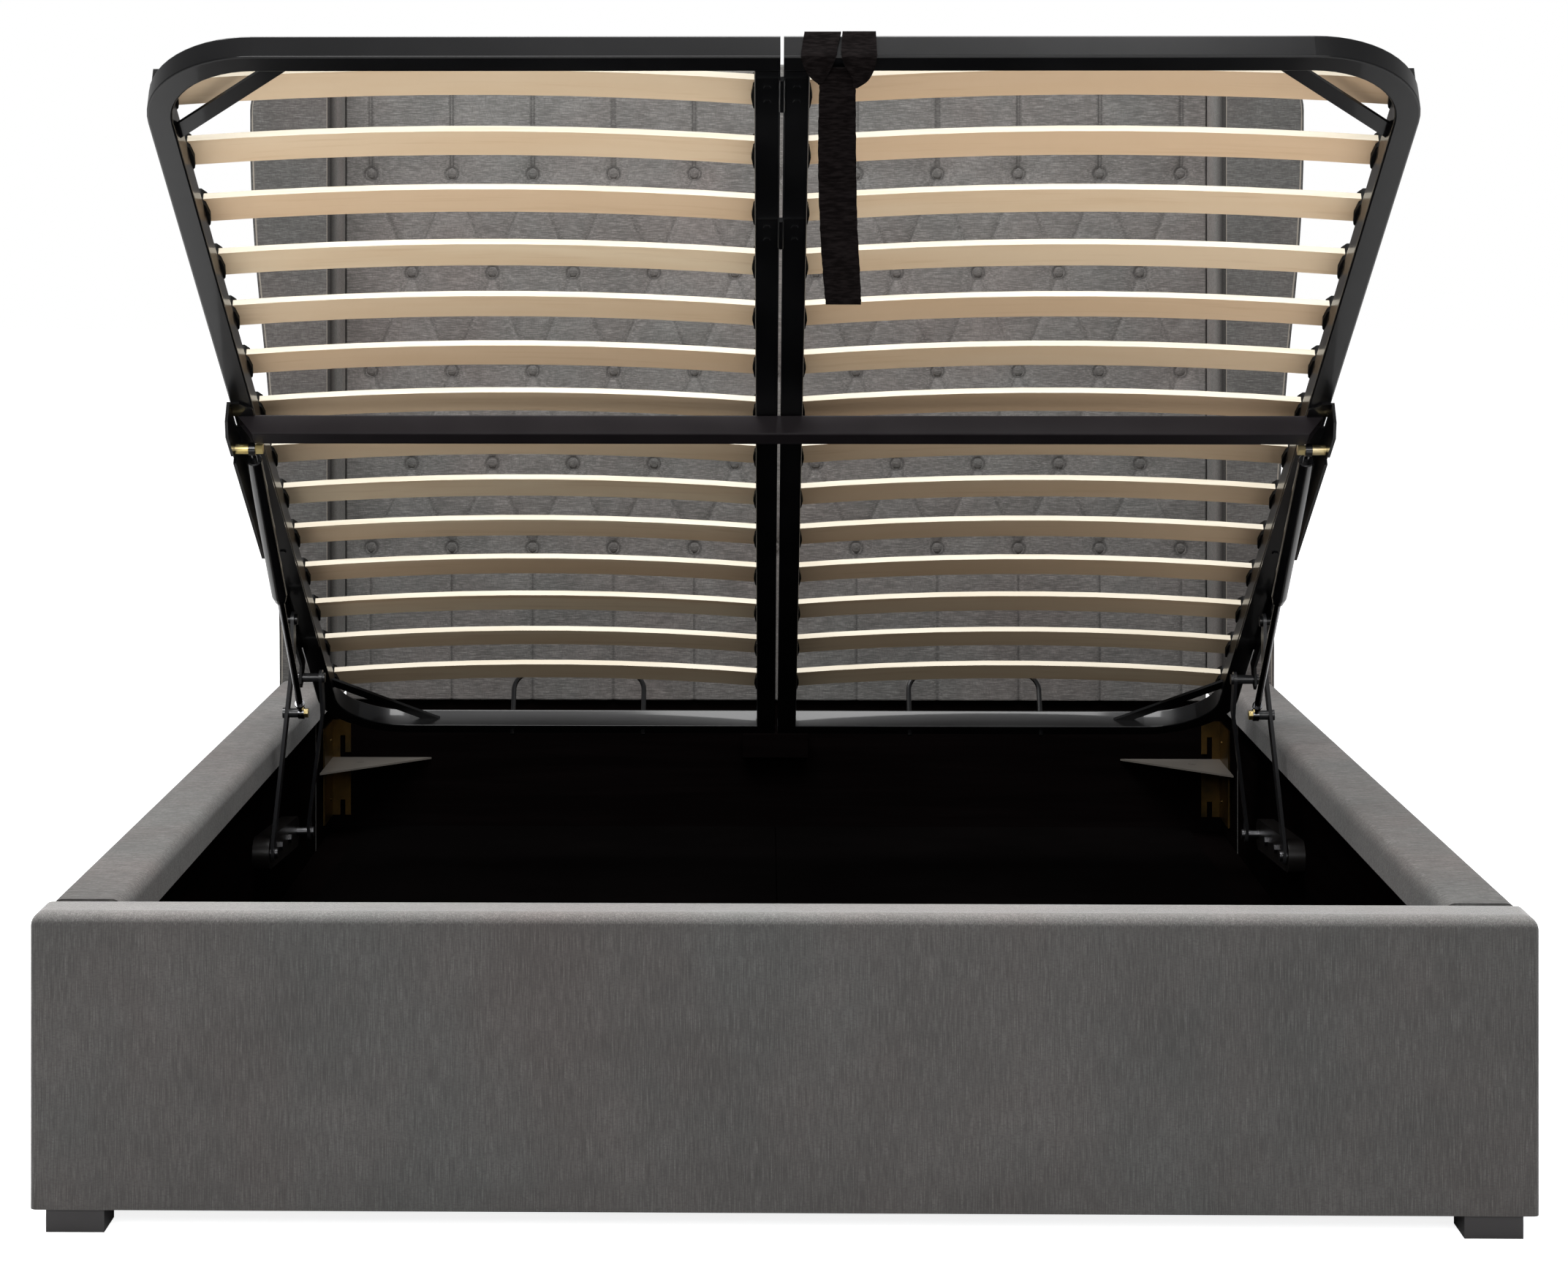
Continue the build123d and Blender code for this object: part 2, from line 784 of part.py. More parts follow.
# Links, drawn on the +X side
def link_blank(length, foot_x, top_x, with_foot_hole, with_top_hole):
    half = link_thickness / 2
    end = length + link_width / 2
    top_turn = length - link_flat_top
    strip = outline([
        (foot_x - half, -link_width / 2),
        (foot_x - half, link_flat_end),
        (top_x - half, top_turn),
        (top_x - half, end),
        (top_x + half, end),
        (top_x + half, top_turn),
        (foot_x + half, link_flat_end),
        (foot_x + half, -link_width / 2),
    ])
    bar = upward(strip, -link_width, link_width)
    blade = Pos(length / 2, 0) * SlotCenterToCenter(length, link_width)
    hole = Circle(pin_radius + pin_running_gap)
    if with_foot_hole:
        blade -= hole
    if with_top_hole:
        blade -= Pos(length, 0) * hole
    low = min(foot_x, top_x) - link_thickness
    high = max(foot_x, top_x) + link_thickness
    return bar & across(blade, low, high)


def front_link():
    bar = link_blank(front_link_length, front_link_foot_x, front_link_top_x, True, True)
    bar = from_to(bar, base_front, frame_front)
    stub_start = strut_x + eye_width / 2 + pin_side_gap
    spacer = rod_x(stub_start, strut_foot_x, *strut_foot, spacer_radius)
    rivet = rod_x(strut_foot_x, strut_foot_x + link_thickness / 2 + pin_head_height, *strut_foot, pin_head_radius)
    return bar + spacer + rivet


def rear_link():
    bar = link_blank(rear_link_length, rear_link_foot_x, rear_link_top_x, True, False)
    bar = from_to(bar, base_rear, frame_rear)
    inner = rear_link_top_x - link_thickness / 2
    bar += rod_x(inner + link_thickness, frame_half - pin_side_gap, *frame_rear, spacer_radius)
    return bar + rod_x(inner - pin_head_height, inner, *frame_rear, pin_head_radius)


def pivot_pin(inner, outer, place, shoulder_start):
    pin = rod_x(inner - pin_side_gap, outer, *place, pin_radius)
    head = rod_x(inner - pin_side_gap - pin_head_height, inner - pin_side_gap, *place, pin_head_radius)
    shoulder = rod_x(shoulder_start + pin_side_gap, outer, *place, spacer_radius)
    return head + pin + shoulder


def base_pivot_pins():
    pins = []
    for place, foot_x in ((base_front, front_link_foot_x), (base_rear, rear_link_foot_x)):
        half = link_thickness / 2
        pins.append(pivot_pin(foot_x - half, bracket_web_x, place, foot_x + half))
    return pins + [mirrored(p) for p in pins]


def frame_pivot_pins():
    inner = front_link_top_x - link_thickness / 2 - pin_side_gap
    outer = front_link_top_x + link_thickness / 2 + pin_side_gap
    pin = rod_x(inner, angle_outer_x, *frame_front, pin_radius)
    pin += rod_x(inner - pin_head_height, inner, *frame_front, pin_head_radius)
    pin += rod_x(outer, frame_half, *frame_front, spacer_radius)
    front = pin + rod_x(angle_outer_x, angle_outer_x + pin_head_height, *frame_front, pin_head_radius)
    rear = rod_x(angle_outer_x, angle_outer_x + pin_head_height, *frame_rear, pin_head_radius)
    return front, rear


# Base hinge bracket, drawn on the +X side
def base_bracket():
    span = hypot(base_rear[0] - base_front[0], base_rear[1] - base_front[1])
    outer = Pos(span / 2, 0) * SlotCenterToCenter(span, 2 * bracket_radius)
    inner = Pos(span / 2, 0) * SlotCenterToCenter(span, 2 * (bracket_radius - bracket_rim_wall))
    dish = across(outer, bracket_web_x, board_inner) - across(inner, bracket_web_x + bracket_wall, board_inner)
    return from_to(dish, base_front, base_rear)


def bracket_bolts():
    bolts = []
    for share in (bracket_bolt_share, 1 - bracket_bolt_share):
        y = base_front[0] + share * (base_rear[0] - base_front[0])
        z = base_front[1] + share * (base_rear[1] - base_front[1])
        bolts.append(hex_x(bracket_web_x - bracket_bolt_height, bracket_web_x, y, z, bracket_bolt_across))
    return bolts + [mirrored(b) for b in bolts]


# Gas strut, drawn along +Y from its top eye at X 0 and then placed
def turned(points):
    face = outline([(radius, y) for y, radius in points])
    return revolve(face, axis=Axis.Y)


def strut_eye(hole_radius):
    ring = Circle(eye_radius) - Circle(hole_radius)
    return across(ring, -eye_width / 2, eye_width / 2)


def place_strut(shape):
    return Pos(strut_x, 0, 0) * from_to(shape, strut_top, strut_foot)


def strut_cylinder():
    tip = cylinder_length
    shell = turned([
        (cylinder_neck, 0),
        (cylinder_neck, cylinder_radius - tube_wall),
        (cylinder_neck + tube_wall, cylinder_radius),
        (tip - collar_length, cylinder_radius),
        (tip, collar_end_radius),
        (tip, rod_radius + pin_running_gap),
        (tip - collar_length, rod_radius + pin_running_gap),
        (tip - collar_length, cylinder_bore),
        (cylinder_neck + 2 * tube_wall, cylinder_bore),
        (cylinder_neck + 2 * tube_wall, 0),
    ])
    neck = turned([(eye_radius - tube_wall, 0), (eye_radius - tube_wall, eye_neck_radius),
                   (cylinder_neck, eye_neck_radius), (cylinder_neck, 0)])
    hole = across(Circle(pin_radius + pin_running_gap), -eye_width, eye_width)
    return place_strut(shell + neck + strut_eye(pin_radius + pin_running_gap) - hole)


def strut_rod():
    start = cylinder_length - rod_inside
    shaft_end = strut_length - eye_radius - eye_shank_length
    rod = turned([
        (start, 0),
        (start, piston_radius),
        (start + piston_length, piston_radius),
        (start + piston_length, rod_radius),
        (shaft_end - rod_ring_length, rod_radius),
        (shaft_end - rod_ring_length, rod_ring_radius),
        (shaft_end, rod_ring_radius),
        (shaft_end, eye_shank_radius),
        (strut_length - eye_radius, eye_neck_radius),
        (strut_length - pin_radius, eye_neck_radius),
        (strut_length - pin_radius, 0),
    ])
    eye = Pos(0, strut_length, 0) * across(Circle(eye_radius), -eye_width / 2, eye_width / 2)
    return place_strut(rod + eye)


def strut_top_bolt():
    eye_outer = strut_x + eye_width / 2 + pin_side_gap
    eye_inner = strut_x - eye_width / 2 - pin_side_gap
    bolt = rod_x(eye_inner, frame_half, *strut_top, pin_radius)
    bolt += rod_x(eye_outer, frame_half, *strut_top, spacer_radius)
    return bolt + hex_x(eye_inner - strut_nut_height, eye_inner, *strut_top, strut_bolt_across)


def strut_foot_nut():
    inner = strut_x - eye_width / 2
    return hex_x(inner - strut_bolt_head, inner, *strut_foot, strut_bolt_across)


# Mattress hoop, drawn on the +X side
def mattress_hoop():
    low = -hoop_tip
    middle = tube_size / 2
    path = FilletPolyline(
        (hoop_inner_x, -middle, low),
        (hoop_inner_x, -middle, tube_size + hoop_height),
        (hoop_outer_x, -middle, tube_size + hoop_height),
        (hoop_outer_x, -middle, low),
        radius=hoop_bend,
    )
    start = Plane((hoop_inner_x, -middle, low), z_dir=(0, 0, 1))
    return on_lid(sweep(start * RegularPolygon(hoop_wire, 8), path=path))


def hoop_holes():
    middle = tube_size / 2
    cutter = Part()
    for x in (hoop_inner_x, hoop_outer_x):
        hole = Pos(x, -middle, 0) * Circle(hoop_wire)
        cutter += upward(hole, -overrun, tube_size + overrun)
    return on_lid(cutter)


# Pull strap hitched round the right half of the foot bar
def strap_loop():
    centre_y = tube_size / 2 - frame_length
    inner = tube_size + 2 * strap_play
    outer = inner + 2 * strap_thickness
    ring = Pos(centre_y, tube_size / 2) * (Rectangle(outer, outer) - Rectangle(inner, inner))
    start = strap_wrap_gap / 2
    left = across(ring, strap_x - start - strap_width, strap_x - start)
    right = across(ring, strap_x + start, strap_x + start + strap_width)
    low = -strap_play - strap_thickness
    bight = box(strap_x - start, strap_x + start, centre_y - strap_width / 2, centre_y + inner / 2, low, -strap_play)
    tube_side = gap_half + tube_size + strap_play
    tube_end = tube_size - frame_length
    clear = box(0, tube_side, tube_end, tube_end + 2 * strap_reach, -strap_play, tube_size + strap_play)
    return on_lid(left + right + bight - clear)


def strap_hinge_place():
    below = strap_play + strap_thickness + strap_play + strap_thickness / 2
    return lid_point(frame_length - tube_size / 2, -below)


def strap_tail():
    y, z = strap_hinge_place()
    half = strap_thickness / 2
    left = strap_x - strap_width / 2
    right = strap_x + strap_width / 2
    tail = box(left, right, y - half, y + half, z - strap_drop, z) + rod_x(left, right, y, z, half)
    for drop in strap_fold_drops:
        front = y - half - strap_fold_proud
        tail += box(left, right, front, y, z - drop - strap_fold_height, z - drop)
    return tail


parts = {}


def keep(name, shape):
    solids = shape if isinstance(shape, (list, tuple)) else [shape]
    parts[name] = solids


def keep_pair(name, shape):
    solids = shape if isinstance(shape, (list, tuple)) else [shape]
    keep(name + "_right", solids)
    keep(name + "_left", [mirrored(s) for s in solids])


keep("footboard_frame", footboard_core())
keep("footboard_cover", footboard_cover())
keep_pair("side_rail_frame", rail_core())
keep_pair("side_rail_cover", rail_cover())
keep_pair("wing_frame", wing_core())
keep_pair("wing_cover", wing_cover())
keep("head_rail", head_rail())
keep("headboard_frame", headboard_frame())
keep("headboard_back_cover", headboard_back_cover())
keep("headboard_pad", headboard_pad())
keep("headboard_buttons", headboard_buttons())
keep_pair("floor_panel", floor_panel())
keep("centre_floor_beam", centre_floor_beam())
keep("floor_ledges", floor_ledges())
keep("corner_feet", corner_feet())
keep("centre_feet", centre_feet())
keep_pair("hook_bracket", hook_bracket())
keep("corner_plates", [corner_plate(), mirrored(corner_plate())])
keep("support_blocks", support_blocks())
keep_pair("base_bracket", base_bracket())
keep("bracket_bolts", bracket_bolts())
keep("base_pivot_pins", base_pivot_pins())
keep_pair("front_link", front_link())
keep_pair("rear_link", rear_link())
keep_pair("strut_cylinder", strut_cylinder())
keep_pair("strut_rod", strut_rod())
keep("strut_foot_nuts", [strut_foot_nut(), mirrored(strut_foot_nut())])
hoop = mattress_hoop()
keep_pair("frame_tube", frame_tube() - hoop_holes())
keep_pair("centre_tube", centre_tube())
keep_pair("mattress_hoop", hoop)
keep("corner_braces", corner_braces())
keep("joining_plates", joining_plates())
keep("joining_bolts", joining_bolts())
keep("crossbar", crossbar())
keep_pair("side_angle", side_angle())
keep("strut_top_bolts", [strut_top_bolt(), mirrored(strut_top_bolt())])
frame_pins = list(frame_pivot_pins())
keep("frame_pivot_pins", frame_pins + [mirrored(p) for p in frame_pins])
keep_pair("slats", [slat(s) for s in slat_places()])
keep("outer_slat_caps", outer_caps() + [mirrored(c) for c in outer_caps()])
keep("inner_slat_caps", inner_caps() + [mirrored(c) for c in inner_caps()])
keep("strap_loop", strap_loop())
keep("strap_tail", strap_tail())

os.makedirs("parts", exist_ok=True)
shift = Pos(0, -origin_y, 0)
for name, solids in parts.items():
    placed = []
    for shape in solids:
        placed += [shift * s for s in shape.solids()]
    whole = placed[0] if len(placed) == 1 else Compound(children=placed)
    export_step(whole, "parts/" + name + ".step")
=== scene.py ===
"""Ottoman storage bed with its lid raised.

Materials, soft pieces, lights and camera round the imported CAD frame.
"""
import math

import bpy
import numpy as np
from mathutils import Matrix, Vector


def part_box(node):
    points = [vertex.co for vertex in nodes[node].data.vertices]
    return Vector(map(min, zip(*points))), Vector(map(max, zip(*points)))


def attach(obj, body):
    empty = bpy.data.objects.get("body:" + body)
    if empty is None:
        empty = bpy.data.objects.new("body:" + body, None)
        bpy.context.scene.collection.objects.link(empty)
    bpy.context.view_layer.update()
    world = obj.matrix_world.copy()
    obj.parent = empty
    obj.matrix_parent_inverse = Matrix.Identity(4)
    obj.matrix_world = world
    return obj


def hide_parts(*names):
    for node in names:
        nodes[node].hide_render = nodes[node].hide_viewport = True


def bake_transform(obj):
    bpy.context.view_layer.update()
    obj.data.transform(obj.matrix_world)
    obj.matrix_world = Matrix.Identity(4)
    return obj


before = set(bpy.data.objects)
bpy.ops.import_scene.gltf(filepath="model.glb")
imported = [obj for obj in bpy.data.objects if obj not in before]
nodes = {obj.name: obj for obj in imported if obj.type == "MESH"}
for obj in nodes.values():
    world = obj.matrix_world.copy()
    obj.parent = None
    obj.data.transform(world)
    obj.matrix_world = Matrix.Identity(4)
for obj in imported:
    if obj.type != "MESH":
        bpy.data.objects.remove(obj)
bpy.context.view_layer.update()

# Sizes are in metres and colours are linear, unless a comment says otherwise.

# Camera, fitted to the photograph in its own pixels
IMAGE_WIDTH = 2145
IMAGE_HEIGHT = 1736
FOCAL_PIXELS = 4483
HORIZON_ROW = 302
CENTRE_COLUMN = 976
CAMERA_BACK = 3.745
CAMERA_HEIGHT = 1.161
CAMERA_ASIDE = -0.022
CAMERA_TURN = 0.0151
CAMERA_REACH = 100
SENSOR = 36.0

# Studio
FLOOR_REACH = 30.0
FLOOR_TONE = 0.82
FLOOR_LIFT = 0.85
WORLD_LIGHT = 0.35
WORLD_SEEN = 1.0
# Lamps: name, place, target, size and watts
LAMPS = (
    ("front_key", (-1.1, -5.6, 2.9), (0, 0, 0.7), (2.4, 1.8), 155),
    ("front_fill", (1.3, -5.6, 2.3), (0, 0, 0.7), (2.0, 1.8), 52),
    ("overhead", (-0.3, 0.2, 4.2), (0, 0, 0), (3.4, 3.0), 70),
    ("over_bay", (-0.25, -0.7, 3.1), (0, -0.1, 0), (2.6, 1.2), 150),
)

# Cloth
FABRIC_DARK = (0.058, 0.0560, 0.0545)
FABRIC_LIGHT = (0.098, 0.0945, 0.092)
FABRIC_SLUB = (0.165, 0.160, 0.156)
# Colour of the painted shade in the pad's folds and on the wings' inner faces
FABRIC_SHADE = (0.018, 0.0172, 0.0168)
# Pale colour of the painted highlight along the seamed edges
FABRIC_SEAM_HIGHLIGHT = (0.17, 0.155, 0.135)
FABRIC_COOL = (0.98, 1.0, 0.995)
FABRIC_WARM = (1.06, 1.0, 0.985)
# Stretch of the other threads, as shares of the slubs' stretch
FINE_STRETCH = 1.9
STREAK_STRETCH = 0.27
WEFT_STRETCH = 0.4
# Layers over the clouds: threads, ramp from and to, cover at each end, and the tone laid on
FABRIC_LAYERS = (
    ("streaks", 0.30, 0.50, 0.4, 0.0, "dark"),
    ("slubs", 0.54, 0.80, 0.0, 0.55, "slub"),
    ("slubs", 0.26, 0.48, 0.5, 0.0, "dark"),
    ("fine", 0.46, 0.72, 0.0, 0.6, "slub"),
    ("fine", 0.30, 0.50, 0.6, 0.0, "dark"),
    ("weft", 0.30, 0.54, 0.5, 0.0, "dark"),
)
CLOUD_SCALE = 5.5
CLOUD_RAMP = (0.30, 0.70)
WARMTH_SCALE = 3.0
WARMTH_STRETCH = (1.0, 1.3, 0.8)
WARMTH_RAMP = (0.40, 0.66)
CLOTH_ROUGHNESS = 0.95
SHEEN_ROUGHNESS = 0.4
WEFT_RELIEF = 0.8
CLOTH_BUMP = 0.5
CLOTH_RELIEF = 0.0012
# Upward part of the normal at which the painted top light starts, and at which it is full
PAINTED_TOP_LIGHT_RAMP = (0.25, 0.95)
# Painted highlight: a pale line where the normal turns this far off facing forward, at a seam's rounded
# edge, and its spread
SEAM_HIGHLIGHT_TURN = -0.95
SEAM_HIGHLIGHT_SPREAD = 0.03
# Wing's inner face: how near its plane counts, the times it is painted paler as painted light, and the
# painted shadow at its front edge with the depth over which it fades
WING_FACE_SPREAD = 0.005
WING_INNER_PAINTED_LIGHT = 2.7
WING_SHADE = 0.95
WING_SHADE_DEPTH = 0.10

# Birch slats
BIRCH_ROSY = (0.61, 0.43, 0.275)
BIRCH_PALE = (0.71, 0.575, 0.40)
BIRCH_WARM = (0.58, 0.40, 0.24)
BIRCH_GRAIN = (0.47, 0.30, 0.17)
BIRCH_EDGE = (0.46, 0.42, 0.345)
BIRCH_EDGE_GRAIN = (0.40, 0.35, 0.265)
GRAIN_STRETCH = (3.0, 75, 75)
GRAIN_RAMP = (0.55, 0.75)
GRAIN_COVER = 0.4
FIGURE_STRETCH = (2.2, 14, 14)
FIGURE_RAMP = (0.42, 0.72)
FIGURE_COVER = 0.5
EDGE_GRAIN_RAMP = (0.4, 0.7)
# Lengthwise part of the normal at which the sawn edge starts, and at which it is full
EDGE_RAMP = (0.68, 0.78)
SLAT_COUNT = 14
SLAT_BREADTH = 0.053
SLAT_PHASE = 0.5
SLAT_HALF_STEP = 31.7

# Paint, plating, plastic, webbing and boards
BLACK_PAINT = (0.002, 0.002, 0.0023)
BAR_BLACK = (0.0095, 0.0078, 0.0088)
GREY_METAL = (0.10, 0.10, 0.105)
LINK_GREY = (0.010, 0.010, 0.011)
BRACKET_BLACK = (0.0045, 0.0038, 0.0036)
CAP_BLACK = (0.004, 0.004, 0.004)
FOOT_BLACK = (0.012, 0.0105, 0.011)
PLATE_GREY = (0.062, 0.056, 0.049)
ZINC_YELLOW = (0.66, 0.52, 0.20)
ZINC_WORN = (0.50, 0.42, 0.27)
ZINC_BROWN = (0.17, 0.10, 0.030)
ZINC_STAINED = (0.070, 0.050, 0.022)
ZINC_ROUGHNESS = 0.34
ZINC_CLOUDS = 22.0
ZINC_RAMP = (0.4, 0.7)
WEBBING_DARK = (0.0020, 0.0014, 0.0014)
WEBBING_LIGHT = (0.0062, 0.0048, 0.0048)
RIB_STRETCH = (90, 420, 420)
RIB_RAMP = (0.4, 0.7)
BOARD_DARK = (0.0014, 0.0010, 0.0010)
BOARD_FLOOR = (0.0012, 0.0010, 0.0010)
BOARD_STRETCH = (2.5, 2.5, 40)
BOARD_LIFT = 1.8
BOARD_RAMP = (0.4, 0.8)
PAINT_CLOUDS = 9.0
PAINT_RAMP = (0.4, 0.8)
PAINT_LIFT = 1.35
PAINT_FLOOR = 0.002
GRIT_SCALE = 700.0
GRIT_DEPTH = 0.0004

# Headboard pad and its buttons
SHADE_LAYER = "fold_shade"
BUTTON_PITCH = 0.1444
BUTTON_COLUMNS = 11
BUTTON_ROWS = (1.245, 1.069, 0.893, 0.728, 0.577)
BUTTON_RADIUS = 0.0115
BUTTON_RINGS = 7
BUTTON_SEGMENTS = 20
BUTTON_DOME = 0.6
BUTTON_SKIRT = 0.004
BUTTON_HEIGHT = 0.0085
BUTTON_SEAT = 0.8
PAD_GRID = 0.0025
PAD_SINK = 0.011
PAD_PUFF = 0.017
PAD_EDGE = 0.0015
PAD_RUMPLE = 0.0007
CREASE_DEPTH = 0.0035
CREASE_WIDTH = 0.006
DIMPLE_DEPTH = 0.0115
DIMPLE_WIDTH = 0.030
FOLD_SHADE = 0.3
PLEAT_SHADE = 0.6
FOLD_SHADE_WIDTH = 0.0018
FOLD_SLACK = 0.001
PLEAT_HALF = 0.0026
PLEAT_PAST = 0.05
RIM_SHADE = 0.7
RIM_SHADE_WIDTH = 0.002
FAR_OFF = 1.0

# Pull strap. Each row is y, z, left edge and right edge, in millimetres.
STRAP_STEPS = 5
STRAP_COLUMNS = 9
STRAP_THICKNESS = 0.0022
STRAP_CROWN = 0.003
STRAP_CROWN_ROWS = 6
STRAP_FRAY = 0.0004
STRAP_FRAY_TURNS = (2.4, 1.1)
STRAP_SHARP = 0.7
LEFT_WRAP = (
    (-1086, 1317, 40, 46), (-1088.5, 1322, 33.5, 48.5), (-1091.5, 1330, 27, 53.5),
    (-1094.5, 1338, 23.5, 57.5), (-1096.6, 1344.5, 21.5, 60), (-1095.3, 1349.8, 21, 61.5),
    (-1089.1, 1359.7, 22.5, 63), (-1080.2, 1374.6, 25, 66.8), (-1077, 1375.8, 25.5, 66.5),
    (-1063.6, 1367.4, 29, 65), (-1050.5, 1359.6, 33, 64), (-1048.5, 1356.5, 33, 64),
    (-1057.6, 1342.9, 34, 62), (-1065.8, 1329.3, 36, 60), (-1076, 1316, 41, 57))
RIGHT_WRAP = (
    (-1086, 1311.5, 80.5, 85), (-1088.5, 1319, 80.5, 96.5), (-1091.5, 1328, 76.5, 102.5),
    (-1094.5, 1337, 70.5, 105.8), (-1096.6, 1344.5, 68, 107), (-1095.3, 1349.8, 67.2, 107.5),
    (-1089.1, 1359.7, 67.2, 107.2), (-1080.2, 1374.9, 68.6, 106.8), (-1077, 1376.1, 68.6, 106.6),
    (-1063.6, 1367.6, 68, 105), (-1050.5, 1359.8, 68, 104), (-1048.4, 1356.7, 68, 104),
    (-1057.6, 1343, 66, 100), (-1065.8, 1329.3, 64, 94), (-1076, 1315, 62, 84))
STRAP_TAIL = (
    (-1082.6, 1336, 44, 80), (-1082.6, 1325, 42.5, 82.5), (-1082.6, 1309, 42, 83.5),
    (-1082.9, 1281, 41.2, 83.6), (-1083.2, 1250, 40.8, 83.9), (-1082.8, 1224, 40.9, 84.1),
    (-1082.2, 1192, 41.4, 84.7), (-1082, 1158, 42.8, 85.4), (-1082.3, 1131, 44.1, 86.8),
    (-1082.8, 1100, 46.2, 88.4), (-1083, 1078, 48.2, 89.5), (-1083, 1065.5, 49.5, 89.6))
STRAP_OVERLAP = (
    (-1084.6, 1330, 43.5, 81), (-1084.9, 1309, 42.8, 83.2), (-1085, 1290, 42.2, 83.3),
    (-1085.1, 1278, 42, 83.3))
STRAP_SEAM = ((-1083.7, 1209, 41.4, 84.2), (-1083.7, 1206, 41.4, 84.3))


# Materials
def add_node(tree, kind):
    return tree.nodes.new("ShaderNode" + kind)


class Shader:
    """One material's node tree, with short calls for the nodes used here."""

    def __init__(self, name):
        self.material = bpy.data.materials.new(name)
        self.material.use_nodes = True
        self.tree = self.material.node_tree
        self.tree.nodes.clear()
        output = add_node(self.tree, "OutputMaterial")
        self.surface = add_node(self.tree, "BsdfPrincipled")
        self.link(self.surface.outputs[0], output.inputs[0])

    def link(self, out, into):
        self.tree.links.new(out, into)

    def feed(self, socket, value):
        """Puts a colour, a number or another node's output into a socket."""
        if isinstance(value, tuple):
            socket.default_value = (*value, 1.0)
        elif isinstance(value, (int, float)):
            socket.default_value = value
        else:
            self.link(value, socket)

    def set(self, **values):
        """Values of the surface's sockets, named with _ for a space."""
        for key, value in values.items():
            self.feed(self.surface.inputs[key.replace("_", " ")], value)

    def noise(self, scale=1.0, detail=3.0, rough=0.5, stretch=(1, 1, 1)):
        """Noise over the object, with its coordinates stretched along each axis."""
        source = add_node(self.tree, "TexCoord")
        mapping = add_node(self.tree, "Mapping")
        mapping.inputs["Scale"].default_value = stretch
        self.link(source.outputs["Object"], mapping.inputs[0])
        node = add_node(self.tree, "TexNoise")
        self.feed(node.inputs["Scale"], scale)
        self.feed(node.inputs["Detail"], detail)
        self.feed(node.inputs["Roughness"], rough)
        self.link(mapping.outputs[0], node.inputs["Vector"])
        return node.outputs["Fac"]

    def axis(self, kind, number):
        """One component of a texture coordinate."""
        source = add_node(self.tree, "TexCoord")
        split = add_node(self.tree, "SeparateXYZ")
        self.link(source.outputs[kind], split.inputs[0])
        return split.outputs[number]

    def math(self, operation, *values):
        node = add_node(self.tree, "Math")
        node.operation = operation
        for socket, value in zip(node.inputs, values):
            self.feed(socket, value)
        return node.outputs[0]

    def near(self, place, width):
        """1 where the distance from the middle of the object is within width of place."""
        return self.math("COMPARE", self.math("ABSOLUTE", self.axis("Object", 0)), place, width)

    def ramp(self, value, low, high, first, last):
        """Colour first where value is low, and last where it is high."""
        node = add_node(self.tree, "ValToRGB")
        stops = ((low, first), (high, last))
        for element, (position, colour) in zip(node.color_ramp.elements, stops):
            element.position = position
            element.color = (*colour, 1.0)
        self.link(value, node.inputs[0])
        return node.outputs[0]

    def fade(self, value, low, high, first=0.0, last=1.0):
        """A ramp in grey."""
        return self.ramp(value, low, high, (first,) * 3, (last,) * 3)

    def mix(self, factor, first, second, blend="MIX"):
        node = add_node(self.tree, "Mix")
        node.data_type = "RGBA"
        node.blend_type = blend
        for number, value in ((0, factor), (6, first), (7, second)):
            self.feed(node.inputs[number], value)
        return node.outputs[2]

    def multiply(self, first, second):
        return self.mix(1.0, first, second, "MULTIPLY")

    def bump(self, height, strength, distance):
        node = add_node(self.tree, "Bump")
        self.feed(node.inputs["Strength"], strength)
        self.feed(node.inputs["Distance"], distance)
        self.link(height, node.inputs["Height"])
        self.link(node.outputs[0], self.surface.inputs["Normal"])


def wing_faces(shader, base, edge, front):
    """Painted highlight along the seams of the wing's front edges, and painted shadow and light on its
    inner face.
    """
    # Painted highlight along the seams, where the edge rounds off the front face.
    seam_highlight = shader.math("COMPARE", shader.axis("Normal", 1), SEAM_HIGHLIGHT_TURN, SEAM_HIGHLIGHT_SPREAD)
    base = shader.mix(seam_highlight, base, FABRIC_SEAM_HIGHLIGHT)
    # Painted shadow on the wing's inner face, strongest at its front edge and fading with depth.
    depth = shader.math("SUBTRACT", shader.axis("Object", 1), front)
    shade = shader.fade(depth, 0.0, WING_SHADE_DEPTH, WING_SHADE, 0.0)
    inner = shader.near(edge, WING_FACE_SPREAD)
    # Painted light: the whole inner face is painted paler.
    base = shader.multiply(base, shader.fade(inner, 0.0, 1.0, 1.0, WING_INNER_PAINTED_LIGHT))
    return shader.mix(shader.math("MULTIPLY", inner, shade), base, FABRIC_SHADE)


